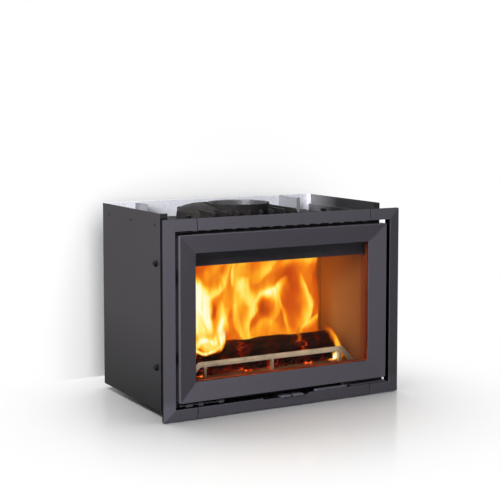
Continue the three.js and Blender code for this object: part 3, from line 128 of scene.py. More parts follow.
def grown(obj, tree, values):
    """Runs a geometry tree on the object with its named inputs, and keeps what it makes."""
    modifier = obj.modifiers.new("grown", "NODES")
    modifier.node_group = tree
    for item in tree.interface.items_tree:
        if item.in_out == "INPUT" and item.name in values:
            modifier[item.identifier] = values[item.name]
    return baked(obj)


def merged_copy(node):
    """A copy of a solid's mesh with its loose triangles joined and its flats made whole."""
    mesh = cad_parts[node].data.copy()
    mesh.materials.clear()
    with edited(mesh) as shape:
        bmesh.ops.remove_doubles(shape, verts=shape.verts, dist=WELD)
        bmesh.ops.dissolve_limit(
            shape, angle_limit=FLAT_UNDER, verts=shape.verts, edges=shape.edges
        )
        for layer in list(shape.loops.layers.uv):
            shape.loops.layers.uv.remove(layer)
    return mesh


def rounded(node, body, key, width, segments=2):
    """The solid with its hard edges rounded over by a width in mm, riding on its body."""
    obj = new_object(node + "_finish", merged_copy(node))
    bevel = obj.modifiers.new("edge_round", "BEVEL")
    bevel.width = width * MM
    bevel.segments = segments
    bevel.limit_method = "ANGLE"
    bevel.angle_limit = ROUND_OVER
    bevel.use_clamp_overlap = True
    baked(obj)
    smooth_by_angle(obj.data, degrees=38)
    even = obj.modifiers.new("even_flats", "WEIGHTED_NORMAL")
    even.keep_sharp = True
    baked(obj)
    obj.data.materials.clear()
    obj.data.materials.append(material(key))
    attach(obj, body)
    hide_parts(node)
    return obj


def dress(key, slot, width, *nodes, body=BODY):
    for node in nodes:
        rounded(node, body, key, width)


def repainted(obj, paint, chosen):
    """Gives a further material to the faces that a test of normal and centre picks."""
    obj.data.materials.append(paint)
    faces = [f for f in obj.data.polygons if chosen(f.normal, f.center)]
    for polygon in faces:
        polygon.material_index = len(obj.data.materials) - 1
    return faces


def painted_node(node, key):
    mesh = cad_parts[node].data
    mesh.materials.clear()
    mesh.materials.append(material(key))


def box_mm(node):
    low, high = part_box(node)
    return low / MM, high / MM


# ---------------- node trees
class Wiring:
    """Adds nodes to a tree from left to right and feeds their inputs."""

    def __init__(self, tree):
        self.tree = tree
        self.column = 0

    def feed(self, socket, value):
        """Links another node's output, or writes a plain value."""
        if isinstance(value, bpy.types.NodeSocket):
            self.tree.links.new(value, socket)
        elif socket.type == "RGBA":
            socket.default_value = (*value, 1.0)
        else:
            socket.default_value = value

    def node(self, kind, inputs=(), **settings):
        made = self.tree.nodes.new(kind)
        made.location = (self.column * 190, -(self.column % 3) * 160)
        self.column += 1
        for key, value in settings.items():
            setattr(made, key, value)
        for key, value in dict(inputs).items():
            self.feed(made.inputs[key], value)
        return made

    def maths(self, operation, a, b=0.0, clamp=False):
        made = self.node("ShaderNodeMath", {0: a, 1: b}, operation=operation, use_clamp=clamp)
        return made.outputs[0]

    plus = functools.partialmethod(maths, "ADD")
    minus = functools.partialmethod(maths, "SUBTRACT")
    times = functools.partialmethod(maths, "MULTIPLY")

    def mix(self, factor, a, b):
        """Colour a, turned into colour b by the factor."""
        return self.node("ShaderNodeMix", {0: factor, 6: a, 7: b}, data_type="RGBA").outputs[2]

    def span(self, value, from_low, from_high, to_low=0.0, to_high=1.0, curve="LINEAR"):
        inputs = enumerate((value, from_low, from_high, to_low, to_high))
        made = self.node("ShaderNodeMapRange", inputs, clamp=True, interpolation_type=curve)
        return made.outputs[0]

    def noise(self, vector, scale, detail=3.0, roughness=0.55, distortion=0.0):
        inputs = {
            "Vector": vector, "Scale": scale, "Detail": detail,
            "Roughness": roughness, "Distortion": distortion,
        }
        return self.node("ShaderNodeTexNoise", inputs).outputs["Fac"]

    def cells(self, vector, scale, feature="F1"):
        inputs = {"Vector": vector, "Scale": scale}
        return self.node("ShaderNodeTexVoronoi", inputs, feature=feature).outputs

    def stretched(self, vector, scale):
        return self.node("ShaderNodeMapping", {"Vector": vector, "Scale": scale}).outputs[0]

    def channels(self, colour):
        return self.node("ShaderNodeSeparateColor", {0: colour}).outputs

    def parts(self, vector):
        return self.node("ShaderNodeSeparateXYZ", {0: vector}).outputs

    def place(self):
        return self.node("ShaderNodeTexCoord").outputs["Object"]

    def ramp(self, value, *stops):
        """Colour along the value: stops are (position, red, green, blue), as displayed."""
        made = self.node("ShaderNodeValToRGB", {0: value})
        elements = made.color_ramp.elements
        elements.remove(elements[1])
        elements[0].position = stops[0][0]
        for i, (position, *display) in enumerate(stops):
            element = elements.new(position) if i else elements[0]
            element.color = (*linear(*display), 1.0)
        return made.outputs["Color"]

    def effect(self, build, **values):
        """A shader group's outputs; the group is built once."""
        inputs = {name.replace("_", " "): value for name, value in values.items()}
        return self.node("ShaderNodeGroup", inputs, node_tree=build()).outputs

    def under(self, low, high):
        """1 below the lower height, 0 over the upper one."""
        return self.minus(1.0, self.effect(height_fade, From=low, To=high)["Fade"])

    def realised(self, copies, material):
        """Ends a geometry tree: copies made real, with their material."""
        real = self.node("GeometryNodeRealizeInstances", {0: copies.outputs[0]})
        inputs = {"Geometry": real.outputs[0], "Material": material}
        finish = self.node("GeometryNodeSetMaterial", inputs)
        self.node("NodeGroupOutput", {"Pieces": finish.outputs[0]})
        return self.tree


class Surface(Wiring):
    """The wiring of a new material around its Principled shader."""

    def __init__(self, name):
        self.material = bpy.data.materials.new(name)
        self.material.use_nodes = True
        super().__init__(self.material.node_tree)
        self.shader = self.tree.nodes["Principled BSDF"]

    def close(self, base, roughness, relief=None, extra=()):
        """Feeds the shader. The relief is (height, strength, distance in metres)."""
        values = {"Base Color": base, "Roughness": roughness, **dict(extra)}
        if relief is not None:
            bump = zip(("Height", "Strength", "Distance"), relief)
            values["Normal"] = self.node("ShaderNodeBump", bump).outputs[0]
        for key, value in values.items():
            self.feed(self.shader.inputs[key], value)
        return self.material


def new_tree(name, kind, inputs, outputs):
    """A node group with its sockets: its wiring, and the values that it is given.

    Sockets are (name, kind) or (name, kind, default, highest value).
    """
    tree = bpy.data.node_groups.new(name, kind)
    for way, sockets in (("INPUT", inputs), ("OUTPUT", outputs)):
        for title, sort, *limits in sockets:
            socket = tree.interface.new_socket(
                name=title, in_out=way, socket_type="NodeSocket" + sort
            )
            if limits:
                socket.default_value = limits[0]
                socket.min_value = 0
                socket.max_value = limits[1]
    w = Wiring(tree)
    return w, w.node("NodeGroupInput").outputs


def shader_group(name, inputs, outputs):
    given = [(key, "Float", default, 10000.0) for key, default in inputs.items()]
    return new_tree(name, "ShaderNodeTree", given, [(key, "Float") for key in outputs])


@functools.cache
def paint_grain():
    """Fine sprayed texture: a speck height and a slow drift of tone."""
    w, given = shader_group(
        "Paint grain", {"Speck size": 900.0, "Drift size": 9.0}, ("Tone", "Height", "Drift")
    )
    place = w.place()
    specks = w.noise(place, given["Speck size"], 2.0, 0.6)
    coarse = w.noise(place, w.times(given["Speck size"], 0.37), 2.0, 0.5)
    drift = w.noise(place, given["Drift size"], 3.0, 0.5)
    height = w.plus(w.times(specks, 0.6), w.times(coarse, 0.4))
    tone, drift = w.span(height, 0.32, 0.68), w.span(drift, 0.3, 0.7)
    w.node("NodeGroupOutput", {"Tone": tone, "Height": height, "Drift": drift})
    return w.tree


@functools.cache
def edge_wear():
    """A mask that is high on outer edges, broken up by noise."""
    w, given = shader_group("Edge wear", {"Reach": 0.0015, "Break up": 160.0}, ("Mask",))
    bevel = w.node("ShaderNodeBevel", {"Radius": given["Reach"]}, samples=4)
    surface = w.node("ShaderNodeNewGeometry")
    normals = {0: bevel.outputs["Normal"], 1: surface.outputs["Normal"]}
    dot = w.node("ShaderNodeVectorMath", normals, operation="DOT_PRODUCT")
    edge = w.span(dot.outputs["Value"], 0.985, 0.80)
    broken = w.noise(w.place(), given["Break up"], 3.0, 0.6)
    w.node("NodeGroupOutput", {"Mask": w.times(edge, w.span(broken, 0.35, 0.65))})
    return w.tree


@functools.cache
def height_fade():
    """A value that runs from 0 at one height of the object to 1 at another."""
    w, given = shader_group("Height fade", {"From": 0.0, "To": 0.5}, ("Fade",))
    fade = w.span(w.parts(w.place())["Z"], given["From"], given["To"])
    w.node("NodeGroupOutput", {"Fade": fade})
    return w.tree


@functools.cache
def cast_skin():
    """The pitted skin of a sand casting."""
    w, given = shader_group(
        "Cast skin", {"Sand size": 420.0, "Lump size": 55.0}, ("Tone", "Height")
    )
    place = w.place()
    sand = w.noise(place, given["Sand size"], 4.0, 0.65)
    lumps = w.noise(place, given["Lump size"], 3.0, 0.5)
    pits = w.cells(place, w.times(given["Sand size"], 0.6))
    deep = w.span(pits["Distance"], 0.05, 0.35)
    height = w.plus(w.times(sand, 0.55), w.times(lumps, 0.3))
    height = w.plus(height, w.times(deep, 0.15))
    tone = w.span(w.plus(sand, lumps), 0.75, 1.25)
    w.node("NodeGroupOutput", {"Tone": tone, "Height": height})
    return w.tree


@functools.cache
def spangle():
    """Zinc crystals: flat patches that each catch the light a little differently."""
    w, given = shader_group("Zinc spangle", {"Crystal size": 90.0}, ("Tone", "Height"))
    place = w.place()
    patches = w.channels(w.cells(place, given["Crystal size"])["Color"])
    fine = w.noise(place, w.times(given["Crystal size"], 5.0), 2.0)
    tone = w.plus(w.times(patches[0], 0.7), w.times(fine, 0.3))
    w.node("NodeGroupOutput", {"Tone": tone, "Height": patches[1]})
    return w.tree


@functools.cache
def brushed_lines():
    """Fine lines along X, left by a finishing belt."""
    w, given = shader_group("Brushed lines", {"Line count": 1600.0}, ("Tone", "Height"))
    lines = w.noise(w.stretched(w.place(), (0.015, 1.0, 1.0)), given["Line count"], 2.0, 0.6)
    stains = w.noise(w.place(), 22.0, 3.0, 0.6)
    tone = w.plus(w.times(lines, 0.5), w.times(stains, 0.5))
    w.node("NodeGroupOutput", {"Tone": tone, "Height": lines})
    return w.tree


# ---------------- materials
# all in metres
FOOT = (0.036, 0.056)  # heights under which lifted paint brightens: painted light
FIRELIT_RIM = (0.006, 0.009)  # how far from an opening its rim of painted firelight ends
REFLECTION_DEPTH = 0.16  # over which inner zinc brightens towards its back end: a painted reflection
SHADED_DEPTH = (0.015, 0.020)  # where the painted shade on a board's front end stops
FIRELIT_DEPTH = 0.26  # over which a board carries painted firelight from its front end


def stove_paint(name, colour, roughness, wear=0.35, fade=None, specular=0.09, lift=None):
    """Heat-resistant paint with a fine sprayed grain and rubbed edges.

    fade gives two heights in metres between which it darkens as painted shade; lift brightens its
    foot as painted light.
    """
    w = Surface(name)
    grain = w.effect(paint_grain, Speck_size=1100.0, Drift_size=6.0)
    edge = w.effect(edge_wear, Reach=0.0012, Break_up=140.0)
    base = w.mix(grain["Tone"], shade(colour, 0.86), shade(colour, 1.14))
    base = w.mix(w.times(grain["Drift"], 0.3), base, shade(colour, 1.12))
    if fade is not None:
        # painted shade: darker under the given heights
        base = w.mix(w.under(*fade), base, shade(colour, 0.12))
    if lift is not None:
        # painted light: the foot is brightened
        base = w.mix(w.under(*FOOT), base, shade(colour, lift))
    base = w.mix(w.times(edge["Mask"], wear), base, shade(colour, 1.9))
    rough = w.span(grain["Tone"], 0.0, 1.0, roughness - 0.06, roughness + 0.07)
    return w.close(base, rough, (grain["Height"], 0.22, 0.00025), {SPECULAR: specular})


def cast_material(name, colour, roughness=0.62, warm=None, rim=None):
    """Bare or thinly painted casting, with rust-brown warmth in its hollows where asked.

    rim gives half width, bottom and top in metres of an opening whose rim gets painted firelight.
    """
    w = Surface(name)
    skin = w.effect(cast_skin, Sand_size=420.0, Lump_size=45.0)
    edge = w.effect(edge_wear, Reach=0.0015, Break_up=120.0)
    base = w.mix(skin["Tone"], shade(colour, 0.72), shade(colour, 1.2))
    if warm is not None:
        patches = w.noise(w.place(), 14.0, 4.0, 0.6)
        base = w.mix(w.span(patches, 0.48, 0.72, 0.0, 0.7), base, warm)
    base = w.mix(w.times(edge["Mask"], 0.5), base, shade(colour, 2.2))
    if rim is not None:
        (half, bottom, top), (near, far) = rim, FIRELIT_RIM
        place = w.parts(w.place())
        within = w.span(w.maths("ABSOLUTE", place["X"]), half + near, half + far, 1.0, 0.0)
        above = w.span(place["Z"], bottom - far, bottom - near)
        below = w.span(place["Z"], top + near, top + far, 1.0, 0.0)
        # painted firelight: a red-brown rim around the opening
        firelit = w.times(within, w.times(above, below))
        base = w.mix(firelit, base, linear(176, 76, 40))
    rough = w.span(skin["Tone"], 0.0, 1.0, roughness + 0.1, roughness - 0.08)
    return w.close(base, rough, (skin["Height"], 0.5, 0.0006), {SPECULAR: 0.1})


def zinc_sheet(name, colour, roughness, metallic=0.15, back=None):
    """Zinc-coated sheet with a faint spangle; where asked, brighter towards the back end as a
    painted reflection.
    """
    w = Surface(name)
    zinc = w.effect(spangle, Crystal_size=420.0)
    drift = w.noise(w.place(), 10.0, 3.0, 0.6)
    base = w.mix(zinc["Tone"], shade(colour, 0.8), shade(colour, 1.1))
    base = w.mix(w.span(drift, 0.45, 0.75, 0.0, 0.25), base, shade(colour, 0.8))
    if back is not None:
        # painted reflection of the bright back panel: lighter towards the back end
        depth = w.span(w.parts(w.place())["Y"], back - REFLECTION_DEPTH, back, 0.0, 0.8)
        base = w.mix(depth, base, linear(150, 149, 152))
    rough = w.span(zinc["Tone"], 0.0, 1.0, roughness - 0.08, roughness + 0.12)
    return w.close(base, rough, (zinc["Height"], 0.08, 0.0002), {"Metallic": metallic})


def plated(name, colour, roughness, metallic, specular=0.5):
    """Plated or blackened fixings with small scuffs."""
    w = Surface(name)
    scuffs = w.noise(w.place(), 260.0, 4.0, 0.7)
    edge = w.effect(edge_wear, Reach=0.0006, Break_up=300.0)
    base = w.mix(w.span(scuffs, 0.35, 0.7), shade(colour, 0.8), shade(colour, 1.15))
    base = w.mix(w.times(edge["Mask"], 0.4), base, shade(colour, 1.8))
    rough = w.span(scuffs, 0.3, 0.7, roughness - 0.06, roughness + 0.14)
    extra = {"Metallic": metallic, SPECULAR: specular}
    return w.close(base, rough, (scuffs, 0.1, 0.0002), extra)


def board_material(name, colour, front=None):
    """Pressed mineral board: flakes, darker lower parts and, where asked, a front end with painted
    shade and painted firelight.
    """
    w = Surface(name)
    place = w.place()
    flakes = w.channels(w.cells(place, 300.0)["Color"])
    clouds = w.noise(place, 8.0, 4.0, 0.55)
    base = w.mix(flakes[0], shade(colour, 0.92), shade(colour, 1.06))
    base = w.mix(w.span(clouds, 0.42, 0.72, 0.0, 0.45), base, shade(colour, 0.7))
    base = w.mix(w.times(w.under(0.05, 0.20), 0.75), base, shade(colour, 0.18))
    if front is not None:
        depth = w.parts(place)["Y"]
        near, far = SHADED_DEPTH
        # painted shade on the front end
        shaded = w.span(depth, front + near, front + far, 1.0, 0.0)
        base = w.mix(shaded, base, linear(84, 30, 18))
        # painted firelight: orange towards the front end
        painted_firelight = w.span(depth, front + FIRELIT_DEPTH, front, 0.0, 0.86)
        base = w.mix(painted_firelight, base, linear(120, 57, 8))
    rough = w.span(clouds, 0.3, 0.7, 0.82, 0.97)
    return w.close(base, rough, (flakes[1], 0.15, 0.0004))


def brushed_steel(name, colour, roughness):
    w = Surface(name)
    lines = w.effect(brushed_lines, Line_count=1500.0)
    base = w.mix(w.span(lines["Tone"], 0.35, 0.62), shade(colour, 0.55), shade(colour, 1.05))
    rough = w.span(lines["Tone"], 0.3, 0.7, roughness - 0.06, roughness + 0.16)
    return w.close(base, rough, (lines["Height"], 0.12, 0.0002), {"Metallic": 0.75})


def rope_material(name, colour):
    """Braided sealing rope."""
    w = Surface(name)
    place = w.place()
    inputs = {"Vector": place, "Scale": 190.0, "Distortion": 1.5}
    braid = w.node("ShaderNodeTexWave", inputs, wave_type="BANDS", bands_direction="DIAGONAL")
    fuzz = w.noise(place, 900.0, 3.0, 0.7)
    base = w.mix(braid.outputs["Fac"], shade(colour, 0.6), shade(colour, 1.4))
    base = w.mix(w.span(fuzz, 0.4, 0.7, 0.0, 0.5), base, shade(colour, 2.0))
    rough = w.span(fuzz, 0.3, 0.7, 0.85, 1.0)
    return w.close(base, rough, (braid.outputs["Fac"], 0.6, 0.0008))


def fire_glass(name, tint):
    """Clear ceramic glass with a faint warm tint and a few soft smears."""
    w = Surface(name)
    smears = w.noise(w.place(), 5.0, 3.0, 0.5)
    base = w.mix(w.span(smears, 0.4, 0.7), tint, shade(tint, 0.96))
    rough = w.span(smears, 0.35, 0.75, 0.0, 0.03)
    return w.close(base, rough, extra={"Transmission Weight": 1.0, "IOR": 1.1})


def charred_wood(name, glow):
    """Split firewood that has burned black, with glowing cracks and spots."""
    w = Surface(name)
    place = w.place()
    along = w.stretched(place, (0.45, 1.0, 1.0))
    grain = w.noise(along, 130.0, 5.0, 0.65)
    crack = w.span(w.cells(along, 75.0, "DISTANCE_TO_EDGE")["Distance"], 0.045, 0.0)
    hot = w.span(w.noise(place, 16.0, 4.0, 0.6), 0.50, 0.70)
    char = w.ramp(grain, (0.32, 9, 5, 4), (0.52, 34, 13, 6), (0.72, 92, 38, 14))
    ash = w.span(w.noise(place, 60.0, 3.0, 0.6), 0.56, 0.72, 0.0, 0.6)
    spots = w.span(w.noise(place, 230.0, 3.0, 0.75), 0.57, 0.66)
    glowing = w.plus(w.times(crack, hot), w.times(spots, w.times(hot, 0.7)), clamp=True)
    light = w.ramp(
        glowing, (0.0, 0, 0, 0), (0.35, 120, 14, 4), (0.7, 226, 62, 10), (1.0, 255, 150, 40)
    )
    relief = (w.minus(grain, w.times(crack, 0.5)), 0.8, 0.0025)
    extra = {SPECULAR: 0.04, "Emission Color": light, "Emission Strength": glow}
    return w.close(w.mix(ash, char, linear(74, 32, 12)), 0.9, relief, extra)


def cut_wood(name):
    """A sawn log end, charred, with blurred rings."""
    w = Surface(name)
    rings = w.noise(w.place(), 120.0, 4.0, 0.6, 0.6)
    colour = w.ramp(rings, (0.3, 22, 9, 5), (0.6, 58, 22, 9), (0.85, 110, 44, 14))
    return w.close(colour, 0.9, (rings, 0.6, 0.0015))


def ember_material(name, glow):
    w = Surface(name)
    heat = w.noise(w.place(), 48.0, 4.0, 0.65)
    base = w.ramp(heat, (0.3, 14, 9, 8), (0.7, 70, 34, 20))
    hot = w.span(heat, 0.42, 0.68)
    light = w.ramp(hot, (0.0, 20, 2, 0), (0.5, 210, 48, 8), (1.0, 255, 168, 52))
    extra = {"Emission Color": light, "Emission Strength": glow}
    return w.close(base, 0.95, (heat, 0.7, 0.002), extra)


# colour of burning gas along its heat: position, then red, green and blue as displayed
FLAME_STOPS = [
    (0.0, 112, 34, 6),
    (0.22, 204, 76, 10),
    (0.42, 238, 116, 16),
    (0.60, 254, 164, 28),
    (0.76, 255, 212, 66),
    (0.90, 255, 242, 132),
    (1.0, 255, 255, 226),
]


def flame_material(name, strength):
    """Burning gas: colour from the heat stored on the sheet, opacity from its cover."""
    w = Surface(name)
    heat, cover = (
        w.node("ShaderNodeAttribute", attribute_name=key).outputs["Fac"]
        for key in ("burn_heat", "burn_cover")
    )
    extra = {
        "Emission Color": w.ramp(heat, *FLAME_STOPS), "Emission Strength": strength,
        SPECULAR: 0.0, "Alpha": cover,
    }
    return w.close(BLACK, 1.0, extra=extra)


CASTING = linear(38, 36, 36)
MATERIALS = {
    # its foot is lifted with painted light
    "surround_paint": lambda: stove_paint(
        "Surround paint", finishes().surround_colour, 0.47, lift=1.3
    ),
    "door_paint": lambda: stove_paint("Door paint", finishes().door_colour, 0.44),
    # the casing paint darkens towards the floor: painted shade
    "casing_paint": lambda: stove_paint(
        "Casing paint", finishes().casing_colour, 0.5, fade=(-0.02, 0.24)
    ),
    # painted shadow of the surround: the cut front edge goes near black below the surround's top
    "casing_edge_shadow": lambda: stove_paint(
        "Casing edge", finishes().casing_colour, 0.6, wear=0.1,
        fade=[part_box("surround_left")[1].z - below for below in (0.003, 0.0)],
    ),
    # near-black: the steel's black paint and painted shade for the gaps behind the surround and
    # the door
    "black_steel": lambda: stove_paint(
        "Black steel", linear(17, 17, 18), 0.72, wear=0.12, specular=0.03
    ),
    "deflector_paint": lambda: stove_paint(
        "Deflector paint", linear(58, 58, 68), 0.5, wear=0.2
    ),
    # a lighter copy for the lower hinge's lugs: painted light
    "hinge_lit_grey": lambda: stove_paint("Hinge grey", linear(82, 80, 84), 0.45, wear=0.5),
    "grille_paint": lambda: stove_paint("Grille paint", linear(52, 50, 54), 0.55, wear=0.3),
    # a lighter copy of the door paint: painted light on the levers, which sit in shade
    "lit_lever_paint": lambda: stove_paint("Lever paint", linear(110, 108, 115), 0.42, wear=0.6),
    "cast_iron": lambda: cast_material("Cast iron", CASTING),
    # a red-brown copy of the casting: painted firelight on the opening's edges
    "firelit_casting": lambda: cast_material("Scorched casting", linear(116, 48, 28)),
    "cast_top": lambda: cast_material(
        "Top casting", linear(32, 30, 30), 0.6, linear(44, 39, 34)
    ),
    "collar_bore": lambda: plated("Bright collar bore", linear(120, 120, 122), 0.3, 0.8),
    "galvanised": lambda: zinc_sheet("Zinc sheet", finishes().zinc_colour, 0.5),
    # a dark copy of the zinc: painted shade inside the casing, with a painted reflection towards
    # the back
    "shaded_zinc": lambda: zinc_sheet(
        "Zinc sheet inside", linear(32, 31, 32), 0.4, 0.2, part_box("casing_right_panel")[1].y
    ),
    # a darker copy of the zinc: painted shade on the brackets inside the casing
    "shaded_bracket_zinc": lambda: zinc_sheet("Zinc brackets", linear(150, 150, 154), 0.45, 0.2),
    "vermiculite": lambda: board_material("Lining board", finishes().board_colour),
    # the side boards carry painted shade and painted firelight at their front ends
    "side_board": lambda: board_material(
        "Side lining board", finishes().board_colour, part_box("side_brick_right")[0].y
    ),
    "stainless": lambda: brushed_steel("Retainer steel", linear(232, 212, 182), 0.3),
    "glass": lambda: fire_glass("Fire glass", (0.97, 0.95, 0.92)),
    "rope": lambda: rope_material("Sealing rope", linear(48, 47, 46)),
    "fixings": lambda: plated("Black fixings", linear(15, 15, 16), 0.5, 0.0, 0.12),
    "zinc_steel": lambda: plated("Zinc fixings", linear(176, 178, 182), 0.32, 0.9),
    # dark red-brown: painted firelight on the glass retainers
    "firelit_steel": lambda: plated("Heat-tinted strip", linear(78, 36, 26), 0.5, 0.2, 0.15),
    "char": lambda: charred_wood("Charred wood", fire().ember_strength),
    "log_end": lambda: cut_wood("Log end"),
    "ember": lambda: ember_material("Ember", fire().ember_strength),
    "flame": lambda: flame_material("Flame", fire().flame_strength),
}


@functools.cache
def material(key):
    return MATERIALS[key]()


# ---------------- fasteners
FASTENER_SIZES = {
    "Head radius": 0.006,
    "Head height": 0.0035,
    "Crown share": 0.72,
    "Socket share": 0.42,
    "Socket depth": 0.0016,
}
# head radius and height in mm, crown and socket as shares of it, socket depth in mm
SIDE_SCREW = (7.9, 7.8, 0.7, 0.5, 3.0)
PANEL_RIVET = (3.4, 1.0, 0.6, 0.4, 0.5)
RETAINER_SCREW = (3.8, 2.2, 0.7, 0.45, 1.0)
HINGE_BOLT = (5.0, 3.5, 0.9, 0.5, 0.4)
COLLAR_BOLT = (7.4, 5.5, 0.9, 0.5, 0.6)
# how far in mm the foot of a head stands off the face that it sits on
HEAD_GAP = 0.05
RIVET_GAP = 0.02
QUARTER = math.pi / 2
TURNS = {
    "+z": (0.0, 0.0, 0.0),
    "-x": (0.0, -QUARTER, 0.0),
    "+x": (0.0, QUARTER, 0.0),
    "+y": (-QUARTER, 0.0, 0.0),
}


def fastener_tree(paint, sides):
    """Places a headed fastener on each point, turned by the point's own turn attribute."""
    sizes = [(name, "Float", default, 1.0) for name, default in FASTENER_SIZES.items()]
    w, given = new_tree(
        "Fasteners on points", "GeometryNodeTree",
        [("Seats", "Geometry"), *sizes], [("Pieces", "Geometry")],
    )

    def pushed(mesh, selection, offset):
        inputs = {"Mesh": mesh, "Selection": selection, "Offset Scale": offset}
        made = w.node("GeometryNodeExtrudeMesh", inputs)
        return made.outputs["Mesh"], made.outputs["Top"]

    def narrowed(mesh, selection, share):
        inputs = {"Geometry": mesh, "Selection": selection, "Scale": share}
        return w.node("GeometryNodeScaleElements", inputs).outputs[0]

    half = w.times(given["Head height"], 0.5)
    inputs = {"Vertices": sides, "Radius": given["Head radius"], "Depth": half}
    drum = w.node("GeometryNodeMeshCylinder", inputs).outputs
    up = w.node("ShaderNodeCombineXYZ", {"Z": w.times(half, 0.5)}).outputs[0]
    inputs = {"Geometry": drum["Mesh"], "Translation": up}
    standing = w.node("GeometryNodeTransform", inputs).outputs[0]
    crown, top = pushed(standing, drum["Top"], half)
    rim, inner = pushed(narrowed(crown, top, given["Crown share"]), top, 0.0)
    rim = narrowed(rim, inner, given["Socket share"])
    head, _ = pushed(rim, inner, w.times(given["Socket depth"], -1.0))
    turn = w.node("GeometryNodeInputNamedAttribute", {"Name": "turn"}, data_type="FLOAT_VECTOR")
    points = w.node("GeometryNodeMeshToPoints", {"Mesh": given["Seats"]})
    inputs = {
        "Points": points.outputs[0], "Instance": head, "Rotation": turn.outputs["Attribute"]
    }
    return w.realised(w.node("GeometryNodeInstanceOnPoints", inputs), paint)


def fasteners(name, seats, key, sides, sizes, body=BODY):
    """One mesh of like fasteners: seats are (point in mm, way that the head faces)."""
    mesh = new_mesh(name, [tuple(Vector(point) * MM) for point, way in seats])
    turns = mesh.attributes.new("turn", "FLOAT_VECTOR", "POINT")
    for i, (point, way) in enumerate(seats):
        turns.data[i].vector = TURNS[way]
    values = {
        title: size * (1.0 if "share" in title else MM)
        for title, size in zip(FASTENER_SIZES, sizes)
    }
    obj = grown(new_object(name, mesh), fastener_tree(material(key), sides), values)
    smooth_by_angle(obj.data, degrees=40)
    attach(obj, body)
    return obj


# ---------------- settings
def colour_setting(name, description, *display):
    return bpy.props.FloatVectorProperty(
        name=name, description=description, subtype="COLOR",
        default=linear(*display), min=0.0, max=1.0,
    )


def number_setting(name, description, default, **limits):
    return bpy.props.FloatProperty(name=name, description=description, default=default, **limits)


def length_setting(name, description, default, low, high):
    return number_setting(
        name, description, default, min=low, max=high, subtype="DISTANCE", unit="LENGTH"
    )


def power_setting(name, description, default):
    return number_setting(name, description, default, min=0.0, unit="POWER")


class InsertFinishSettings(bpy.types.PropertyGroup):
    surround_colour: colour_setting(
        "Surround paint", "Colour of the bevelled surround", 85, 82, 88
    )
    door_colour: colour_setting("Door paint", "Colour of the door casting", 88, 84, 91)
    casing_colour: colour_setting(
        "Casing paint", "Colour of the casing's side panels", 51, 48, 50
    )
    zinc_colour: colour_setting("Zinc", "Colour of the zinc-coated sheet", 240, 240, 244)
    board_colour: colour_setting(
        "Lining board", "Colour of the heat-resistant boards", 184, 137, 74
    )
    edge_round: length_setting("Edge round", "Radius on the door's edges", 0.0009, 0.0001, 0.003)


class InsertFireSettings(bpy.types.PropertyGroup):
    flame_strength: number_setting(
        "Flame strength", "How brightly the flames shine", 1.05, min=0.0, max=5.0
    )
    ember_strength: number_setting(
        "Ember strength", "How brightly the embers glow", 1.6, min=0.0, max=10.0
    )
    log_radius: length_setting("Log radius", "Radius of the largest log", 0.038, 0.02, 0.06)
    ember_count: bpy.props.IntProperty(
        name="Embers", description="Number of embers on the hearth", default=150, min=0, max=600
    )
    seed: bpy.props.IntProperty(
        name="Seed", description="Seed of the fire's pattern", default=7, min=0
    )


class InsertStageSettings(bpy.types.PropertyGroup):
    camera_place: bpy.props.FloatVectorProperty(
        name="Camera place", description="Where the camera stands",
        subtype="TRANSLATION", unit="LENGTH", default=(-1.60328, -2.87333, 0.7948),
    )
    camera_yaw: number_setting(
        "Camera yaw", "Turn of the view to the right of straight back",
        math.radians(29.29), subtype="ANGLE",
    )
    camera_pitch: number_setting(
        "Camera pitch", "Tilt of the view above level", math.radians(-4.78), subtype="ANGLE"
    )
    lens: number_setting(
        "Lens", "Focal length on a 36 mm wide sensor", 88.24, min=20.0, max=300.0
    )
    key_power: power_setting("Key lamp", "Power of the large lamp at the left", 118.0)
    backdrop_power: power_setting(
        "Backdrop lamp", "Power of the soft lamps on floor and wall", 350.0
    )
    wall_gap: length_setting(
        "Wall gap", "Distance between the casing's back and the wall", 0.136, 0.02, 2.0
    )
    fire_power: power_setting("Fire lamp", "Power of the lamps inside the firebox", 0.45)


def finishes():
    return bpy.context.scene.insert_finish


def fire():
    return bpy.context.scene.insert_fire


def stage():
    return bpy.context.scene.insert_stage


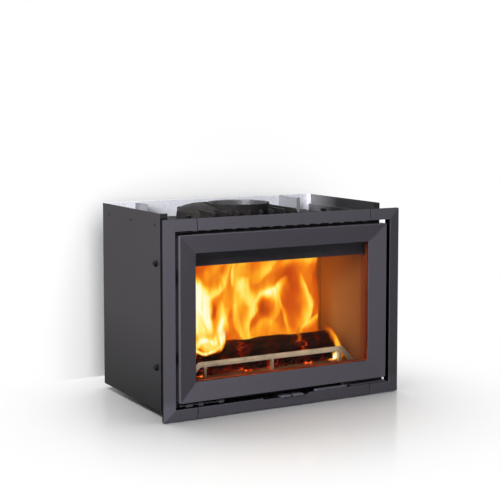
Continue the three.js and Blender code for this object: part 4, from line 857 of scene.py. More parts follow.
# ---------------- pieces
class INSERT_OT_casing(bpy.types.Operator):
    """Finish the sheet casing, its shields, feet, brackets, screws and rivets"""

    bl_idname = "insert.casing"
    bl_label = "Casing"

    def execute(self, context):
        dress("galvanised", "galvanised", 0.4, "casing_back_panel", "casing_base")
        dress("galvanised", "galvanised", 0.3, "heat_shield_left")
        # the right shield in the dark zinc: painted shade
        dress("shaded_zinc", "galvanised", 0.3, "heat_shield_right")
        # brackets in the darker zinc: painted shade
        dress("shaded_bracket_zinc", "galvanised", 0.4, "spacer_bracket_left", "spacer_bracket_right")
        self.panels()
        corners = ("front_left", "front_right", "rear_left", "rear_right")
        dress("zinc_steel", "zinc_steel", 0.5, *("levelling_foot_" + c for c in corners))
        self.screws()
        self.rivets()
        return {"FINISHED"}

    def panels(self):
        """The left one's cut front edge is dark up to the surround's top, a painted shadow; the
        right one is bare zinc inside, darkened as painted shade and lighter towards its back as a
        painted reflection."""
        left = rounded("casing_left_panel", BODY, "casing_paint", 0.4)
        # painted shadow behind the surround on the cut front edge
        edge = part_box("casing_left_panel")[0].y + 0.004
        repainted(left, material("casing_edge_shadow"), lambda n, c: n.y < -FACING and c.y < edge)
        right = rounded("casing_right_panel", BODY, "casing_paint", 0.4)
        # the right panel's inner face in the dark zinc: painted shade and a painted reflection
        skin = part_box("casing_right_panel")[1].x - 0.0005
        repainted(right, material("shaded_zinc"), lambda n, c: n.x < -0.7 and c.x < skin)

    def screws(self):
        """Socketed heads take the place of the side screws."""
        nodes = [f"side_screw_{side}_{level}" for side in SIDES for level in ("low", "high")]
        seats = []
        for node in nodes:
            low, high = box_mm(node)
            middle = (low + high) / 2
            if "left" in node:
                skin, way = box_mm("casing_left_panel")[0].x - HEAD_GAP, "-x"
            else:
                skin, way = box_mm("casing_right_panel")[1].x + HEAD_GAP, "+x"
            seats.append(((skin, middle.y, middle.z), way))
        obj = fasteners("side_screws", seats, "fixings", 28, SIDE_SCREW)
        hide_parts(*nodes)

    def rivets(self):
        shield_low, shield_high = box_mm("heat_shield_left")
        first, last = shield_low.y + 1.0, shield_high.y - 8.0
        skins = (
            (box_mm("casing_left_panel")[0].x - RIVET_GAP, "-x"),
            (box_mm("casing_right_panel")[1].x + RIVET_GAP, "+x"),
        )
        seats = [
            ((x, y, shield_high.z - 3.0), way)
            for x, way in skins for y in (first, (first + last) / 2, last)
        ]
        fasteners("panel_rivets", seats, "fixings", 16, PANEL_RIVET)


class INSERT_OT_surround(bpy.types.Operator):
    """Finish the bevelled surround, its carrier, brackets and warm-air grille"""

    bl_idname = "insert.surround"
    bl_label = "Surround"

    def execute(self, context):
        # carrier and brackets in near-black: black paint and painted shade in the gap behind the
        # surround
        dress(
            "black_steel", "black_steel", 0.4,
            "carrier_frame", "surround_bracket_left", "surround_bracket_right",
        )
        dress("grille_paint", "black_steel", 0.3, "warm_air_grille")
        for side in ("left", "right", "top", "bottom"):
            self.bar("surround_" + side)
        return {"FINISHED"}

    def bar(self, node):
        """The front of each bar is painted grey, its back and its outward returns near-black:
        black paint and painted shade.
        """
        obj = rounded(node, BODY, "surround_paint", 0.5)
        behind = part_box("surround_left")[0].y + 0.004
        # returns in near-black: black paint and painted shade
        repainted(
            obj, material("black_steel"),
            lambda n, c: (abs(n.y) < ASIDE and c.y > behind) or n.y > ASIDE,
        )


class INSERT_OT_door(bpy.types.Operator):
    """Finish the door casting, its glass, seals and retainers"""

    bl_idname = "insert.door"
    bl_label = "Door"

    def execute(self, context):
        width = finishes().edge_round / MM
        rounded("door_frame", "door", "door_paint", width, segments=3)
        painted_node("door_glass", "glass")
        for node in ("glass_packing", "door_gasket"):
            painted_node(node, "rope")
        strips = [f"glass_retainer_{side}" for side in SIDES]
        # retainers in dark red-brown: painted firelight
        dress("firelit_steel", "zinc_steel", 0.3, *strips, body="door")
        pins = ("hinge_pin_upper", "hinge_pin_lower", "latch_pin")
        dress("fixings", "zinc_steel", 0.3, *pins, body="door")
        seats = []
        for strip, inset in zip(strips, (5.0, -5.0)):
            low, high = box_mm(strip)
            x = (low.x if inset > 0 else high.x) + inset
            for share in (0.08, 0.5, 0.92):
                z = low.z + share * (high.z - low.z)
                seats.append(((x, high.y + HEAD_GAP, z), "+y"))
        fasteners("retainer_screws", seats, "zinc_steel", 20, RETAINER_SCREW, "door")
        return {"FINISHED"}


class INSERT_OT_controls(bpy.types.Operator):
    """Finish the latch, its keeper, the hinge brackets and the air levers"""

    bl_idname = "insert.controls"
    bl_label = "Latch, hinges and air levers"

    def execute(self, context):
        # latch lever in the lighter lever paint: painted light
        dress("lit_lever_paint", "door_paint", 0.6, "latch_lever", body="latch")
        dress("door_paint", "cast_iron", 0.5, "latch_keeper")
        dress("cast_iron", "cast_iron", 0.4, "hinge_bracket_upper")
        for side in SIDES:
            lever = "air_lever_" + side
            # air levers in the lighter lever paint: painted light
            dress("lit_lever_paint", "door_paint", 0.5, lever, body=f"{side}_air_lever")
        dress("black_steel", "black_steel", 0.4, "air_valve_housing")
        self.lower_hinge()
        low, high = box_mm("hinge_bracket_upper")
        middle = (low.x + high.x) / 2
        seats = [((middle + x, high.y - 10, high.z + HEAD_GAP), "+z") for x in (-8, 8)]
        fasteners("hinge_bolts", seats, "fixings", 6, HINGE_BOLT)
        return {"FINISHED"}

    def lower_hinge(self):
        """The lugs are painted a lighter grey where they stand out from the black plate: painted
        light.
        """
        obj = rounded("hinge_bracket_lower", BODY, "cast_iron", 0.4)
        low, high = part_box("hinge_bracket_lower")
        limit = low.y + 0.6 * (high.y - low.y)
        # painted light on the lugs that stand out
        repainted(obj, material("hinge_lit_grey"), lambda n, c: c.y < limit)


class INSERT_OT_firebox(bpy.types.Operator):
    """Finish the cast firebox, its finned top, the flue collar and their fixings"""

    bl_idname = "insert.firebox"
    bl_label = "Firebox"

    def execute(self, context):
        walls = ("left_wall", "right_wall", "back_wall", "floor")
        dress("cast_iron", "cast_iron", 0.5, *("firebox_" + wall for wall in walls))
        dress("cast_top", "cast_iron", 1.2, "top_plate")
        dress("fixings", "fixings", 0.4, "top_plate_stud_left", "top_plate_stud_right")
        painted_node("collar_gasket", "rope")
        self.front_frame()
        self.collar()
        return {"FINISHED"}

    def front_frame(self):
        """The casting takes a red-brown of painted firelight on the edges of the fire's opening
        and beside them.
        """
        obj = rounded("front_frame", BODY, "cast_iron", 0.6)
        low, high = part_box("door_glass")
        centre = (low + high) / 2

        def faces_the_opening(normal, place):
            inward = centre - place
            inward.y = 0.0
            return abs(normal.y) < FACING and normal.dot(inward) > 0

        # painted firelight on the faces towards the opening
        edges = [f.center for f in repainted(obj, material("firelit_casting"), faces_the_opening)]
        rim = (max(abs(c.x) for c in edges), min(c.z for c in edges), max(c.z for c in edges))
        # painted firelight on the front's rim around the opening
        firelit = cast_material("Casting with browned rim", CASTING, rim=rim)
        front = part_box("front_frame")[0].y + 0.002
        repainted(obj, firelit, lambda n, c: n.y < -FACING and c.y < front)

    def collar(self):
        """The bore is bright; a bolt stands on each of the four lugs."""
        obj = rounded("flue_collar", BODY, "cast_iron", 1.0)
        low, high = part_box("flue_collar")
        centre = (low + high) / 2
        bore = 0.0775

        def in_the_bore(normal, place):
            out = place - centre
            out.z = 0.0
            return out.length < bore and normal.dot(out) < 0

        repainted(obj, material("collar_bore"), in_the_bore)
        low, centre = low / MM, centre / MM
        aside, along, lug_top = 71.2, 64.4, low.z + 6 + HEAD_GAP
        seats = [
            ((centre.x + x * aside, centre.y + y * along, lug_top), "+z")
            for x in (-1, 1) for y in (-1, 1)
        ]
        fasteners("collar_bolts", seats, "fixings", 6, COLLAR_BOLT)


class INSERT_OT_lining(bpy.types.Operator):
    """Finish the lining boards, baffle, grate, ash box, deflector and log retainer"""

    bl_idname = "insert.lining"
    bl_label = "Lining and fittings"

    def execute(self, context):
        dress("side_board", "vermiculite", 0.8, "side_brick_left", "side_brick_right")
        dress("vermiculite", "vermiculite", 0.8, "back_brick", "hearth_brick")
        dress("vermiculite", "vermiculite", 0.8, "baffle_plate", body="baffle")
        dress("cast_iron", "cast_iron", 0.4, "rear_air_duct")
        dress("cast_iron", "cast_iron", 0.8, "grate")
        dress("black_steel", "black_steel", 0.3, "ash_box")
        dress("deflector_paint", "black_steel", 0.4, "air_wash_deflector")
        dress("stainless", "stainless", 0.5, "log_retainer")
        return {"FINISHED"}


# ---------------- fire
LATTICE = 64


@functools.cache
def noise_table(seed):
    return np.random.RandomState(seed).rand(LATTICE, LATTICE)


def lattice_noise(u, v, seed):
    """Smooth noise from 0 to 1 on a unit lattice."""
    table = noise_table(seed)
    iu, iv = np.floor(u).astype(int), np.floor(v).astype(int)
    fu, fv = u - iu, v - iv
    fu = fu * fu * (3 - 2 * fu)
    fv = fv * fv * (3 - 2 * fv)
    a, b, c, d = (
        table[(iu + i) % LATTICE, (iv + j) % LATTICE] for j in (0, 1) for i in (0, 1)
    )
    return (a * (1 - fu) + b * fu) * (1 - fv) + (c * (1 - fu) + d * fu) * fv


def layered_noise(u, v, seed, octaves=4):
    total = 0.0
    for octave in range(octaves):
        scale = 2**octave
        total = total + 0.5 / scale * lattice_noise(u * scale, v * scale, seed + octave)
    return total / (1 - 0.5**octaves)


def smooth_path(path, steps=6):
    """Points along a smooth curve through the path's points."""
    ends = [path[0], *path, path[-1]]
    curve = []
    for i in range(1, len(ends) - 2):
        a, b, c, d = (np.array(ends[i + k - 1], float) for k in range(4))
        for k in range(steps):
            t = k / steps
            bend = (2 * a - 5 * b + 4 * c - d) * t**2 + (3 * b - a - 3 * c + d) * t**3
            curve.append(0.5 * (2 * b + (c - a) * t + bend))
    curve.append(np.array(path[-1], float))
    return curve


# the two sides of a leaning flame: how much its width changes, and how its heat falls off
WIDER, SOFT_FALL = 1.4, 1.9
NARROWER, SHARP_FALL = 0.45, 3.4


def tongue_field(x, z, lean, points):
    """Heat of one flame: lean makes one side sharp and the other soft."""
    curve = smooth_path([point[:2] for point in points])
    widths, heats = ([point[k] for point in points] for k in (2, 3))
    marks = np.linspace(0, 1, len(points))
    count = len(curve) - 1
    nearest = np.full(x.shape, 1e9)
    field = np.zeros_like(x)
    for i in range(count):
        (xa, za), (xb, zb) = curve[i], curve[i + 1]
        dx, dz = xb - xa, zb - za
        size = max(dx * dx + dz * dz, 1e-9)
        t = np.clip(((x - xa) * dx + (z - za) * dz) / size, 0, 1)
        along = (i + t) / count
        away_x, away_z = x - xa - t * dx, z - za - t * dz
        distance = np.hypot(away_x, away_z)
        soft = np.sign(away_x * dz - away_z * dx) * lean > 0
        width = np.interp(along, marks, widths)
        width = width * np.where(soft, 1 + WIDER * abs(lean), 1 - NARROWER * abs(lean))
        fall = np.exp(-((distance / width) ** np.where(soft, SOFT_FALL, SHARP_FALL)))
        nearer = distance < nearest
        field = np.where(nearer, np.interp(along, marks, heats) * fall, field)
        nearest = np.where(nearer, distance, nearest)
    return field


# each flame: lean of its soft side, then its path as (x, z, width in mm, heat)
MAIN_FLAMES = [
    # white-hot body at the left
    (0.0, (-186, 120, 34, 0.72), (-182, 180, 32, 0.74), (-186, 240, 32, 0.86),
     (-192, 290, 24, 0.8), (-204, 340, 10, 0.2)),
    (0.0, (-200, 326, 12, 0.8), (-186, 304, 24, 1.0), (-176, 280, 27, 1.0), (-164, 252, 20, 1.0),
     (-154, 220, 11, 0.9), (-148, 190, 7, 0.5)),
    (-0.4, (-150, 150, 11, 0.6), (-144, 186, 14, 0.8), (-148, 220, 17, 0.92),
     (-158, 258, 22, 1.0), (-170, 300, 19, 0.9), (-180, 330, 9, 0.25)),
    (-0.5, (-162, 256, 16, 0.6), (-142, 272, 14, 0.66), (-120, 282, 13, 0.7),
     (-100, 300, 10, 0.5), (-86, 328, 8, 0.4), (-74, 366, 7, 0.3)),
    (-0.2, (-112, 146, 13, 0.8), (-108, 172, 14, 1.0), (-103, 202, 11, 0.95),
     (-101, 234, 7, 0.55), (-106, 258, 5, 0.15)),
    (0.3, (-112, 232, 12, 0.2), (-94, 256, 13, 0.3), (-90, 286, 11, 0.3), (-98, 318, 8, 0.15)),
    (0.0, (-150, 330, 16, 0.2), (-128, 350, 15, 0.32), (-104, 366, 12, 0.3)),
    # centre: a curtain that rises from the log, and its bright sweep to the right
    (0.9, (-26, 144, 8, 0.45), (-46, 162, 10, 0.52), (-62, 186, 11, 0.46), (-68, 214, 10, 0.38),
     (-64, 244, 8, 0.3)),
    (0.4, (-60, 216, 18, 0.3), (-58, 250, 25, 0.5), (-44, 280, 30, 0.62), (-26, 300, 22, 0.6),
     (-12, 312, 9, 0.2)),
    (0.0, (-46, 300, 16, 0.3), (-26, 276, 24, 0.44), (-8, 256, 22, 0.48), (2, 240, 12, 0.3)),
    (-0.8, (-18, 152, 6, 0.35), (-20, 182, 8, 0.66), (-11, 206, 10, 0.74), (8, 230, 14, 0.76),
     (24, 249, 15, 0.72), (44, 260, 13, 0.6)),
    (0.5, (12, 246, 14, 0.6), (40, 264, 19, 0.82), (64, 272, 17, 0.86), (82, 286, 12, 0.74),
     (101, 306, 5, 0.25)),
    (0.7, (68, 272, 11, 0.55), (78, 250, 10, 0.46), (77, 226, 9, 0.4), (66, 200, 8, 0.28),
     (52, 180, 6, 0.12)),
    (0.6, (-8, 160, 16, 0.3), (8, 178, 16, 0.34), (26, 190, 15, 0.36), (48, 188, 14, 0.3),
     (64, 176, 12, 0.2)),
    (0.6, (98, 150, 5, 0.3), (98, 178, 5, 0.5), (92, 206, 5, 0.52), (84, 236, 4, 0.3)),
    # right: a flame beside the corner
    (-0.7, (132, 150, 8, 0.3), (146, 176, 9, 0.45), (163, 196, 10, 0.66), (171, 224, 9, 0.78),
     (167, 256, 8, 0.74), (157, 288, 6, 0.55), (148, 312, 4, 0.2)),
    (-0.3, (142, 162, 20, 0.16), (148, 190, 22, 0.24), (148, 224, 20, 0.22),
     (142, 250, 14, 0.1)),
    (0.3, (146, 172, 6, 0.4), (170, 184, 8, 0.62), (190, 196, 5, 0.4)),
    # thin tongues beside the middle
    (0.4, (-74, 298, 4, 0.5), (-70, 328, 5, 0.66), (-66, 358, 4, 0.45)),
    (-0.4, (-84, 176, 4, 0.3), (-92, 206, 5, 0.5), (-90, 240, 4, 0.3)),
    # wisps under the baffle
    (0.0, (-60, 300, 24, 0.2), (-10, 326, 24, 0.26), (40, 338, 22, 0.26), (96, 352, 16, 0.16)),
    (-0.6, (18, 304, 9, 0.25), (42, 328, 11, 0.44), (58, 350, 11, 0.5), (72, 370, 8, 0.42)),
    (0.3, (96, 350, 12, 0.34), (130, 362, 11, 0.46), (168, 356, 11, 0.42), (204, 368, 9, 0.3)),
    (0.4, (-60, 330, 12, 0.2), (-40, 352, 12, 0.32), (-10, 366, 10, 0.3)),
    (0.0, (-110, 368, 10, 0.4), (-60, 360, 9, 0.3), (0, 366, 9, 0.25), (60, 366, 8, 0.2)),
]
LOW_FLAMES = [
    (0.0, (-224, 152, 5, 0.7), (-208, 145, 5, 0.85), (-188, 142, 5, 0.85), (-168, 145, 5, 0.7),
     (-152, 156, 5, 0.4)),
    (0.0, (-216, 160, 6, 0.5), (-204, 176, 6, 0.7), (-184, 178, 6, 0.7), (-166, 166, 5, 0.4)),
    (-0.2, (-148, 148, 8, 0.5), (-143, 166, 11, 0.95), (-139, 184, 12, 1.0),
     (-137, 204, 13, 0.9)),
    (0.0, (-208, 176, 22, 0.62), (-188, 164, 24, 0.62), (-168, 164, 22, 0.6),
     (-154, 176, 16, 0.55)),
    (0.0, (-180, 196, 34, 0.62), (-178, 180, 32, 0.6), (-176, 160, 22, 0.5)),
    (0.0, (-232, 190, 12, 0.85), (-226, 160, 10, 0.8), (-222, 132, 6, 0.3)),
    (0.4, (-112, 112, 4, 0.2), (-100, 100, 5, 0.5), (-78, 88, 5, 0.55), (-52, 80, 4, 0.4)),
    (-0.3, (50, 88, 5, 0.6), (58, 102, 5, 0.85), (55, 120, 3, 0.3)),
    (0.3, (84, 128, 7, 0.25), (93, 148, 8, 0.4), (86, 168, 7, 0.34), (95, 188, 4, 0.1)),
    (-0.3, (192, 78, 11, 0.85), (207, 94, 13, 0.97), (217, 114, 11, 0.88), (212, 140, 9, 0.72),
     (192, 164, 9, 0.42), (160, 184, 8, 0.15)),
    (0.0, (216, 82, 6, 0.45), (230, 98, 6, 0.45), (233, 116, 4, 0.2)),
    (0.0, (60, 84, 5, 0.3), (84, 90, 5, 0.3), (108, 86, 4, 0.2)),
]
# darker gaps in the main fire: centre (x, z), half width, half height in mm, depth,
# and how far the gap opens the flames in front of it
FLAME_HOLES = [
    (38, 234, 27, 29, 0.2, 0.84), (118, 250, 46, 60, 0.10, 0.0), (128, 196, 44, 40, 0.07, 0.0),
    (200, 262, 16, 92, 0.18, 0.0), (-176, 358, 60, 20, 0.12, 0.0), (-112, 300, 10, 22, 0.12, 0.0),
    (0, 344, 30, 14, 0.1, 0.0), (-132, 232, 10, 22, 0.28, 0.0), (-96, 340, 12, 22, 0.12, 0.0),
    (-84, 300, 7, 30, 0.1, 0.0),
]
SHEET_STEP = 1.8
SHEET_THICKNESS = 3.0
# how far in mm noise shifts a sheet's pattern: broad swirl, rise, fine tremble
SWIRL, RISE, TREMBLE = 20, 16, 6
RAGGED_EDGE = 22
# shares of a tongue's heat that are steady, in wisps and in threads
STEADY, WISPY, THREADED = 0.66, 0.42, 0.28
HOLE_FALL, OPENING_FALL = 2.2, 2.6
# a flame is clear up to the first heat, and full where it is hotter by the second
CLEAR_UNDER, CLEAR_SPAN = 0.12, 0.45


def burning(x, z, flames, fill, seed):
    """Heat of the fire at each point, from its tongues and the haze between them."""
    base, cover_base, holes = fill
    swirl = SWIRL * (layered_noise(x / 52, z / 74, seed, 3) - 0.5)
    fine = TREMBLE * (layered_noise(x / 9, z / 30, seed + 23, 3) - 0.5)
    wx = x + swirl + fine
    wz = z + RISE * (layered_noise(x / 44, z / 60, seed + 11, 3) - 0.5)
    cool = np.ones_like(x)
    for lean, *points in flames:
        cool = cool * (1 - tongue_field(wx, wz, lean, points))
    wisps = layered_noise(wx / 7, (wz + 0.5 * wx) / 48, seed + 37)
    clouds = layered_noise(wx / 55, wz / 80, seed + 51, 3)
    threads = layered_noise((wx + 0.22 * wz) / 4.5, wz / 70, seed + 67)
    heat = (1 - cool) * (STEADY + WISPY * wisps + THREADED * threads)
    glow = base * (0.3 + 1.4 * clouds) + 0.14 * (wisps - 0.5)
    clear = np.ones_like(x)
    for hole_x, hole_z, half_width, half_height, depth, opened in holes:
        reach = ((wx - hole_x) / half_width) ** 2 + ((wz - hole_z) / half_height) ** 2
        glow = glow - depth * np.exp(-(reach**HOLE_FALL))
        clear = clear * (1 - opened * np.exp(-(reach**OPENING_FALL)))
    haze = np.clip(glow, 0, 1) * (cover_base > 0)
    return 1 - (1 - haze) * (1 - np.clip(heat, 0, 1) * clear), wisps


def veil(name, front, shape):
    """A closed sheet from a grid of front points, with a back a few mm behind it."""
    index = np.arange(len(front)).reshape(shape)
    a, b, c, d = (
        part.ravel()
        for part in (index[:-1, :-1], index[1:, :-1], index[1:, 1:], index[:-1, 1:])
    )
    far = len(front)
    rim = np.concatenate([index[:, 0], index[-1, 1:], index[-2::-1, -1], index[0, -2:0:-1]])
    following = np.roll(rim, -1)
    faces = np.concatenate([
        np.stack([a, b, c, d], 1),
        np.stack([d, c, b, a], 1) + far,
        np.stack([following, rim, rim + far, following + far], 1),
    ])
    vertices = np.concatenate([front, front + np.array([0, SHEET_THICKNESS, 0])]) * MM
    return new_mesh(name, vertices.tolist(), faces.tolist())


def flame_sheet(name, y, x_range, z_range, flames, fill, seed, edges):
    """A thin veil of fire across the chamber, with its heat and cover stored at its points."""
    (x_low, x_high), (z_low, z_high) = x_range, z_range
    nx, nz = (int(round((high - low) / SHEET_STEP)) + 1 for low, high in (x_range, z_range))
    x, z = np.meshgrid(np.linspace(*x_range, nx), np.linspace(*z_range, nz), indexing="ij")
    heat, wisps = burning(x, z, flames, fill, seed)
    left, right, top, bottom = edges
    fade = np.clip((x - x_low) / left, 0, 1)
    fade = fade * np.clip((x_high - x + RAGGED_EDGE * (wisps - 0.5)) / right, 0, 1)
    fade = fade * np.clip((z_high - z) / top, 0, 1) * np.clip((z - z_low) / bottom, 0, 1)
    fade = fade * fade * (3 - 2 * fade)
    burn = np.clip((heat - CLEAR_UNDER) / CLEAR_SPAN, 0, 1)
    cover = fade * np.clip(fill[1] + (1 - fill[1]) * burn, 0, 0.99)
    cover = 1 - np.sqrt(1 - cover)
    bulge = 8 * np.sin(x / 60 + 1.3) + 5 * np.sin(z / 38)
    mesh = veil(name, np.stack([x, y + bulge, z], axis=-1).reshape(-1, 3), (nx, nz))
    for key, values in (("burn_heat", heat), ("burn_cover", cover)):
        attribute = mesh.attributes.new(key, "FLOAT", "POINT")
        attribute.data.foreach_set("value", np.tile(values.ravel(), 2).astype(np.float32))
    mesh.materials.append(material("flame"))
    smooth_by_angle(mesh, degrees=60)
    obj = new_object(name, mesh)
    obj.visible_shadow = False
    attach(obj, BODY)


LOG_RINGS = 60
LOG_SIDES = 44
# shares of a log's radius: even girth, knots and ridges
GIRTH, KNOTS, RIDGES = 0.93, 0.14, 0.06


def make_log(name, start, end, radius, seed):
    """A log with knots and splits; start and end are points in mm."""
    start, end = Vector(start), Vector(end)
    axis = (end - start).normalized()
    side = axis.cross(Vector((0, 0, 1))).normalized()
    up = side.cross(axis)
    vertices = []
    for i in range(LOG_RINGS + 1):
        t = i / LOG_RINGS
        centre = start.lerp(end, t)
        tilt = {0: 3.0, LOG_RINGS: -4.0}.get(i, 0.0)
        ring = []
        for j in range(LOG_SIDES):
            angle = 2 * math.pi * j / LOG_SIDES
            u, v = math.cos(angle), math.sin(angle)
            knot = lattice_noise(np.array(t * 9.0), np.array(j / LOG_SIDES * 7.0), seed)
            ridge = lattice_noise(np.array(t * 34.0), np.array(j * 0.9), seed + 5)
            girth = radius * (GIRTH + KNOTS * float(knot) + RIDGES * float(ridge))
            if j == LOG_SIDES - 1:
                girth = (girth + (ring[0] - centre).length) / 2
            ring.append(centre + side * (u * girth) + up * (v * girth) + axis * (tilt * v))
        vertices += [tuple(point * MM) for point in ring]
    faces = []
    for i in range(0, LOG_RINGS * LOG_SIDES, LOG_SIDES):
        for j in range(LOG_SIDES):
            k = (j + 1) % LOG_SIDES
            faces.append((i + j, i + k, i + LOG_SIDES + k, i + LOG_SIDES + j))
    faces.append(tuple(range(LOG_SIDES))[::-1])
    faces.append(tuple(LOG_RINGS * LOG_SIDES + j for j in range(LOG_SIDES)))
    mesh = new_mesh(name, vertices, faces)
    mesh.materials.append(material("char"))
    mesh.materials.append(material("log_end"))
    with edited(mesh) as shape:
        bmesh.ops.recalc_face_normals(shape, faces=shape.faces)
    for polygon in mesh.polygons:
        if len(polygon.vertices) == LOG_SIDES:
            polygon.material_index = 1
    smooth_by_angle(mesh, degrees=50)
    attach(new_object(name, mesh), BODY)


BED_AREA = 0.047
LUMP_SHIFT = 0.006
FULL_TURN = 6.28


def ember_tree():
    """Scatters small lumps over the hearth, at a fixed seed."""
    w, given = new_tree(
        "Embers on the hearth", "GeometryNodeTree",
        [
            ("Bed", "Geometry"), ("Lump radius", "Float", 0.006, 0.05),
            ("Count", "Int", 150, 1000), ("Seed", "Int", 7, 1000),
        ],
        [("Pieces", "Geometry")],
    )
    inputs = {"Subdivisions": 2, "Radius": given["Lump radius"]}
    lump = w.node("GeometryNodeMeshIcoSphere", inputs)
    spot = w.node("ShaderNodeTexNoise", {"Scale": 160.0})
    shift = {0: spot.outputs["Color"], 1: (LUMP_SHIFT,) * 3, 2: (-LUMP_SHIFT / 2,) * 3}
    shift = w.node("ShaderNodeVectorMath", shift, operation="MULTIPLY_ADD").outputs[0]
    inputs = {"Geometry": lump.outputs["Mesh"], "Offset": shift}
    rough = w.node("GeometryNodeSetPosition", inputs)
    inputs = {
        "Mesh": given["Bed"], "Density": w.times(given["Count"], 1 / BED_AREA),
        "Seed": given["Seed"],
    }
    scatter = w.node("GeometryNodeDistributePointsOnFaces", inputs, distribute_method="RANDOM")
    size = {2: 0.5, 3: 1.5, "Seed": given["Seed"]}
    size = w.node("FunctionNodeRandomValue", size, data_type="FLOAT")
    turn = {1: (FULL_TURN,) * 3, "Seed": given["Seed"]}
    turn = w.node("FunctionNodeRandomValue", turn, data_type="FLOAT_VECTOR")
    inputs = {
        "Points": scatter.outputs["Points"], "Instance": rough.outputs[0],
        "Scale": size.outputs[1], "Rotation": turn.outputs[0],
    }
    return w.realised(w.node("GeometryNodeInstanceOnPoints", inputs), material("ember"))


class INSERT_OT_logs(bpy.types.Operator):
    """Lay the burning logs and the bed of embers on the hearth"""

    bl_idname = "insert.logs"
    bl_label = "Logs and embers"

    def execute(self, context):
        low, high = box_mm("hearth_brick")
        radius = fire().log_radius / MM
        # name, then x, distance from the hearth's front and height of either end, radius, seed
        for name, start, end, thick, seed in (
            ("log_large", (-246, 100, radius + 1), (205, 92, radius), radius, 3),
            ("log_small", (-250, 64, 22), (40, 72, 23), 19, 9),
            ("log_rear", (-170, 160, 34), (190, 150, 30), 28, 15),
            ("log_split", (70, 66, 19), (196, 70, 18), 15, 21),
        ):
            ends = [(x, low.y + y, high.z + z) for x, y, z in (start, end)]
            make_log(name, *ends, thick, seed)
        self.embers(low, high.z)
        return {"FINISHED"}

    def embers(self, low, floor):
        z = (floor + 4) * MM
        left, right = -0.24, 0.235
        near, far = (low.y + 58) * MM, (low.y + 205) * MM
        corners = [(left, near, z), (right, near, z), (right, far, z), (left, far, z)]
        obj = new_object("embers", new_mesh("embers", corners, [(0, 1, 2, 3)]))
        grown(obj, ember_tree(), {"Count": fire().ember_count, "Seed": fire().seed})
        smooth_by_angle(obj.data, degrees=60)
        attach(obj, BODY)


class INSERT_OT_flames(bpy.types.Operator):
    """Raise the flames behind and before the logs"""

    bl_idname = "insert.flames"
    bl_label = "Flames"

    def execute(self, context):
        low, high = box_mm("hearth_brick")
        ceiling = box_mm("baffle_plate")[0].z
        seed = fire().seed
        flame_sheet(
            "flames_main", low.y + 133, (-256, 200), (high.z + 2, ceiling - 2),
            MAIN_FLAMES, (0.36, 0.94, FLAME_HOLES), seed, (8, 12, 2, 10),
        )
        flame_sheet(
            "flames_low", low.y + 62, (-254, 254), (high.z + 1.5, high.z + 122),
            LOW_FLAMES, (0.0, 0.0, []), seed + 3, (10, 6, 24, 4),
        )
        return {"FINISHED"}


# ---------------- stage
COOL_LIGHT = (0.94, 0.95, 1.0)
FIRE_LIGHT = (1.0, 0.49, 0.13)
GROUND = -0.0004
# tones of the backdrop: what it throws back onto the object, and what is seen of it
LIGHTING_TONE, SEEN_TONE = (0.14,) * 3, (0.93,) * 3
STUDIO_LAMPS = (
    # name, place, target, size, share of the key lamp's power
    ("key_lamp", (-2.35, -1.36, 1.5), (0, 0, 0.25), (1.2, 1.2), 1.0),
    ("fill_lamp", (2.2, -2.2, 1.0), (0, 0, 0.25), (1.8, 1.4), 0.03),
    ("top_lamp", (-0.3, 0.1, 2.4), (0, 0.0, 0.45), (1.2, 1.2), 0.32),
)
FIRE_LAMPS = (
    # name, place, share of the fire lamps' power
    ("fire_lamp_left", (-0.14, -0.04, 0.26), 0.9),
    ("fire_lamp_middle", (0.0, -0.03, 0.25), 0.9),
    ("fire_lamp_right", (0.10, -0.015, 0.26), 1.0),
)
BACKDROP_LAMPS = (
    # what it lights, place, size, share of the backdrop lamps' power
    ("wall", (-1.5, -4.2, 1.6), 4.0, 0.88),
    ("floor", (0.1, 0.95, 4.0), 4.8, 0.72),
)


def area_lamp(name, place, target, size, power, colour):
    data = bpy.data.lights.new(name, "AREA")
    data.shape = "RECTANGLE"
    data.size, data.size_y = size
    data.energy = power
    data.color = colour
    lamp = new_object(name, data, STAGE)
    lamp.location = place
    lamp.rotation_euler = (Vector(target) - Vector(place)).to_track_quat("-Z", "Y").to_euler()
    return lamp


def fire_lamp(name, place, power):
    data = bpy.data.lights.new(name, "POINT")
    data.energy = power
    data.color = FIRE_LIGHT
    data.shadow_soft_size = 0.05
    lamp = new_object(name, data, STAGE)
    lamp.location = place
    lamp.visible_camera = False
    lamp.visible_glossy = False
    lamp.visible_transmission = False
    return lamp


def linked_light(lamps, title, names, state="INCLUDE"):
    """The lamps light only the named objects, or all but these where the state is EXCLUDE."""
    group = bpy.data.collections.new(title)
    for name in names:
        group.objects.link(bpy.data.objects[name])
    for member in group.collection_objects:
        member.light_linking.link_state = state
    for lamp in lamps:
        lamp.light_linking.receiver_collection = group


def seen_white(w, path):
    """1 for what the camera, reflections and glass show, 0 for light that falls on the object."""
    seen = w.plus(path["Is Camera Ray"], path["Is Transmission Ray"], clamp=True)
    seen = w.plus(seen, path["Is Glossy Ray"], clamp=True)
    bounced = w.maths("MINIMUM", path["Diffuse Depth"], 1.0)
    return w.minus(seen, bounced, clamp=True)


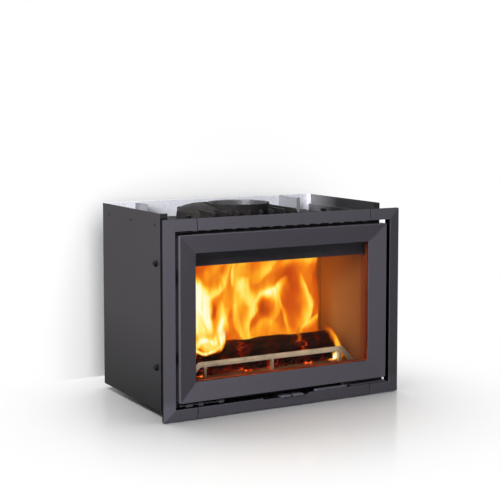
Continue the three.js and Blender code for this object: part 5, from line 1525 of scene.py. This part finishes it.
def backdrop_surface(name, axes, middle, near, far, gloss):
    """Pale paint that keeps the object's shadow and runs out to plain white away from it."""
    w = Surface(name)
    parts = w.parts(w.place())
    flat = w.node("ShaderNodeCombineXYZ", {
        socket: w.minus(parts[axis], centre)
        for socket, axis, centre in zip(("X", "Y"), axes, middle)
    })
    length = w.node("ShaderNodeVectorMath", {0: flat.outputs[0]}, operation="LENGTH")
    away = w.span(length.outputs["Value"], near, far, curve="SMOOTHSTEP")
    path = w.node("ShaderNodeLightPath").outputs
    seen = seen_white(w, path)
    w.close(w.mix(seen, LIGHTING_TONE, SEEN_TONE), 0.16, extra={SPECULAR: gloss})
    plain = w.node("ShaderNodeEmission", {"Color": WHITE, "Strength": 1.0})
    inputs = {0: w.times(away, seen), 1: w.shader.outputs[0], 2: plain.outputs[0]}
    blend = w.node("ShaderNodeMixShader", inputs)
    side = w.node("ShaderNodeNewGeometry")
    clear = w.node("ShaderNodeBsdfTransparent")
    open_ways = w.plus(side.outputs["Backfacing"], path["Is Shadow Ray"], clamp=True)
    inputs = {0: open_ways, 1: blend.outputs[0], 2: clear.outputs[0]}
    front = w.node("ShaderNodeMixShader", inputs)
    w.feed(w.tree.nodes["Material Output"].inputs["Surface"], front.outputs[0])
    return w.material


class INSERT_OT_stage(bpy.types.Operator):
    """Set the camera, the lamps, the pale floor and wall and the white surroundings"""

    bl_idname = "insert.stage"
    bl_label = "Stage"

    def execute(self, context):
        self.camera(context)
        self.floor()
        self.wall()
        self.lamps()
        self.world(context)
        context.scene.view_settings.view_transform = "Standard"
        context.scene.cycles.transparent_max_bounces = 32
        return {"FINISHED"}

    def camera(self, context):
        settings = stage()
        data = bpy.data.cameras.new("camera")
        data.sensor_width = 36.0
        data.lens = settings.lens
        data.shift_y = -0.1
        data.clip_start = 0.05
        camera = new_object("camera", data, STAGE)
        camera.location = settings.camera_place
        camera.rotation_euler = (QUARTER + settings.camera_pitch, 0.0, -settings.camera_yaw)
        context.scene.camera = camera

    def lamps(self):
        """Behind the glass the fire gives the light, and the backdrop has lamps of its own."""
        settings = stage()
        studio = [
            area_lamp(name, place, target, size, settings.key_power * share, COOL_LIGHT)
            for name, place, target, size, share in STUDIO_LAMPS
        ]
        fires = [
            fire_lamp(name, place, settings.fire_power * share)
            for name, place, share in FIRE_LAMPS
        ]
        backdrop = ["floor", "wall"]
        boards = ("side_brick_left", "side_brick_right", "back_brick", "hearth_brick")
        inside = [board + "_finish" for board in boards]
        inside += ["embers", "log_large", "log_small", "log_rear", "log_split"]
        title = "Not lit by the {} lamps"
        linked_light(studio, title.format("studio"), backdrop + inside, "EXCLUDE")
        linked_light(fires, title.format("fire"), backdrop, "EXCLUDE")
        for name, place, size, share in BACKDROP_LAMPS:
            power = settings.backdrop_power * share
            lamp = area_lamp(name + "_lamp", place, (0, 0.1, 0.1), (size, size), power, WHITE)
            linked_light([lamp], f"Lit by the {name} lamp", [name])

    def floor(self):
        mesh = new_mesh("floor")
        with edited(mesh) as shape:
            bmesh.ops.create_circle(shape, cap_ends=True, segments=96, radius=9.0)
            bmesh.ops.translate(shape, verts=shape.verts, vec=(0.0, 0.0, GROUND))
        floor = new_object("floor", mesh, STAGE)
        paint = backdrop_surface("Pale floor", ("X", "Y"), (0.0, -0.1), 0.30, 0.82, 0.12)
        mesh.materials.append(paint)

    def wall(self):
        """A pale wall a hand's breadth behind the casing, seen from its front only."""
        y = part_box("casing_back_panel")[1].y + stage().wall_gap
        aside, top = 5.0, 4.0
        corners = [(-aside, y, GROUND), (aside, y, GROUND), (aside, y, top), (-aside, y, top)]
        mesh = new_mesh("wall", corners, [(0, 1, 2, 3)])
        wall = new_object("wall", mesh, STAGE)
        paint = backdrop_surface("Pale wall", ("X", "Z"), (0.0, 0.12), 0.36, 0.72, 0.0)
        mesh.materials.append(paint)

    def world(self, context):
        world = bpy.data.worlds.new("studio")
        context.scene.world = world
        world.use_nodes = True
        w = Wiring(world.node_tree)
        ambient = w.tree.nodes["Background"]
        w.feed(ambient.inputs["Color"], (0.94, 0.96, 1.0))
        w.feed(ambient.inputs["Strength"], 0.11)
        white = w.node("ShaderNodeBackground", {"Color": WHITE, "Strength": 1.0})
        seen = seen_white(w, w.node("ShaderNodeLightPath").outputs)
        inputs = {0: seen, 1: ambient.outputs[0], 2: white.outputs[0]}
        blend = w.node("ShaderNodeMixShader", inputs)
        w.feed(w.tree.nodes["World Output"].inputs["Surface"], blend.outputs[0])


class INSERT_PT_panel(bpy.types.Panel):
    """Lists the pieces of the fireplace insert and their settings"""

    bl_idname = "INSERT_PT_panel"
    bl_label = "Fireplace insert"
    bl_space_type = "VIEW_3D"
    bl_region_type = "UI"
    bl_category = "Fireplace"

    def draw(self, context):
        scene = context.scene
        for group in (scene.insert_finish, scene.insert_fire, scene.insert_stage):
            column = self.layout.column(align=True)
            for key in group.__annotations__:
                column.prop(group, key)
        for operator in OPERATORS:
            self.layout.operator(operator.bl_idname)


OPERATORS = (
    INSERT_OT_casing,
    INSERT_OT_surround,
    INSERT_OT_firebox,
    INSERT_OT_lining,
    INSERT_OT_door,
    INSERT_OT_controls,
    INSERT_OT_logs,
    INSERT_OT_flames,
    INSERT_OT_stage,
)
SETTINGS = {
    "insert_finish": InsertFinishSettings,
    "insert_fire": InsertFireSettings,
    "insert_stage": InsertStageSettings,
}


def register():
    for name, settings in SETTINGS.items():
        bpy.utils.register_class(settings)
        setattr(bpy.types.Scene, name, bpy.props.PointerProperty(type=settings))
    for operator in OPERATORS:
        bpy.utils.register_class(operator)
    bpy.utils.register_class(INSERT_PT_panel)


def unregister():
    bpy.utils.unregister_class(INSERT_PT_panel)
    for operator in reversed(OPERATORS):
        bpy.utils.unregister_class(operator)
    for name, settings in SETTINGS.items():
        delattr(bpy.types.Scene, name)
        bpy.utils.unregister_class(settings)


def main():
    register()
    for operator in OPERATORS:
        name = operator.bl_idname.split(".")[1]
        if getattr(bpy.ops.insert, name)() != {"FINISHED"}:
            raise RuntimeError(f"the step {operator.bl_label} did not finish")


if __name__ == "__main__":
    main()
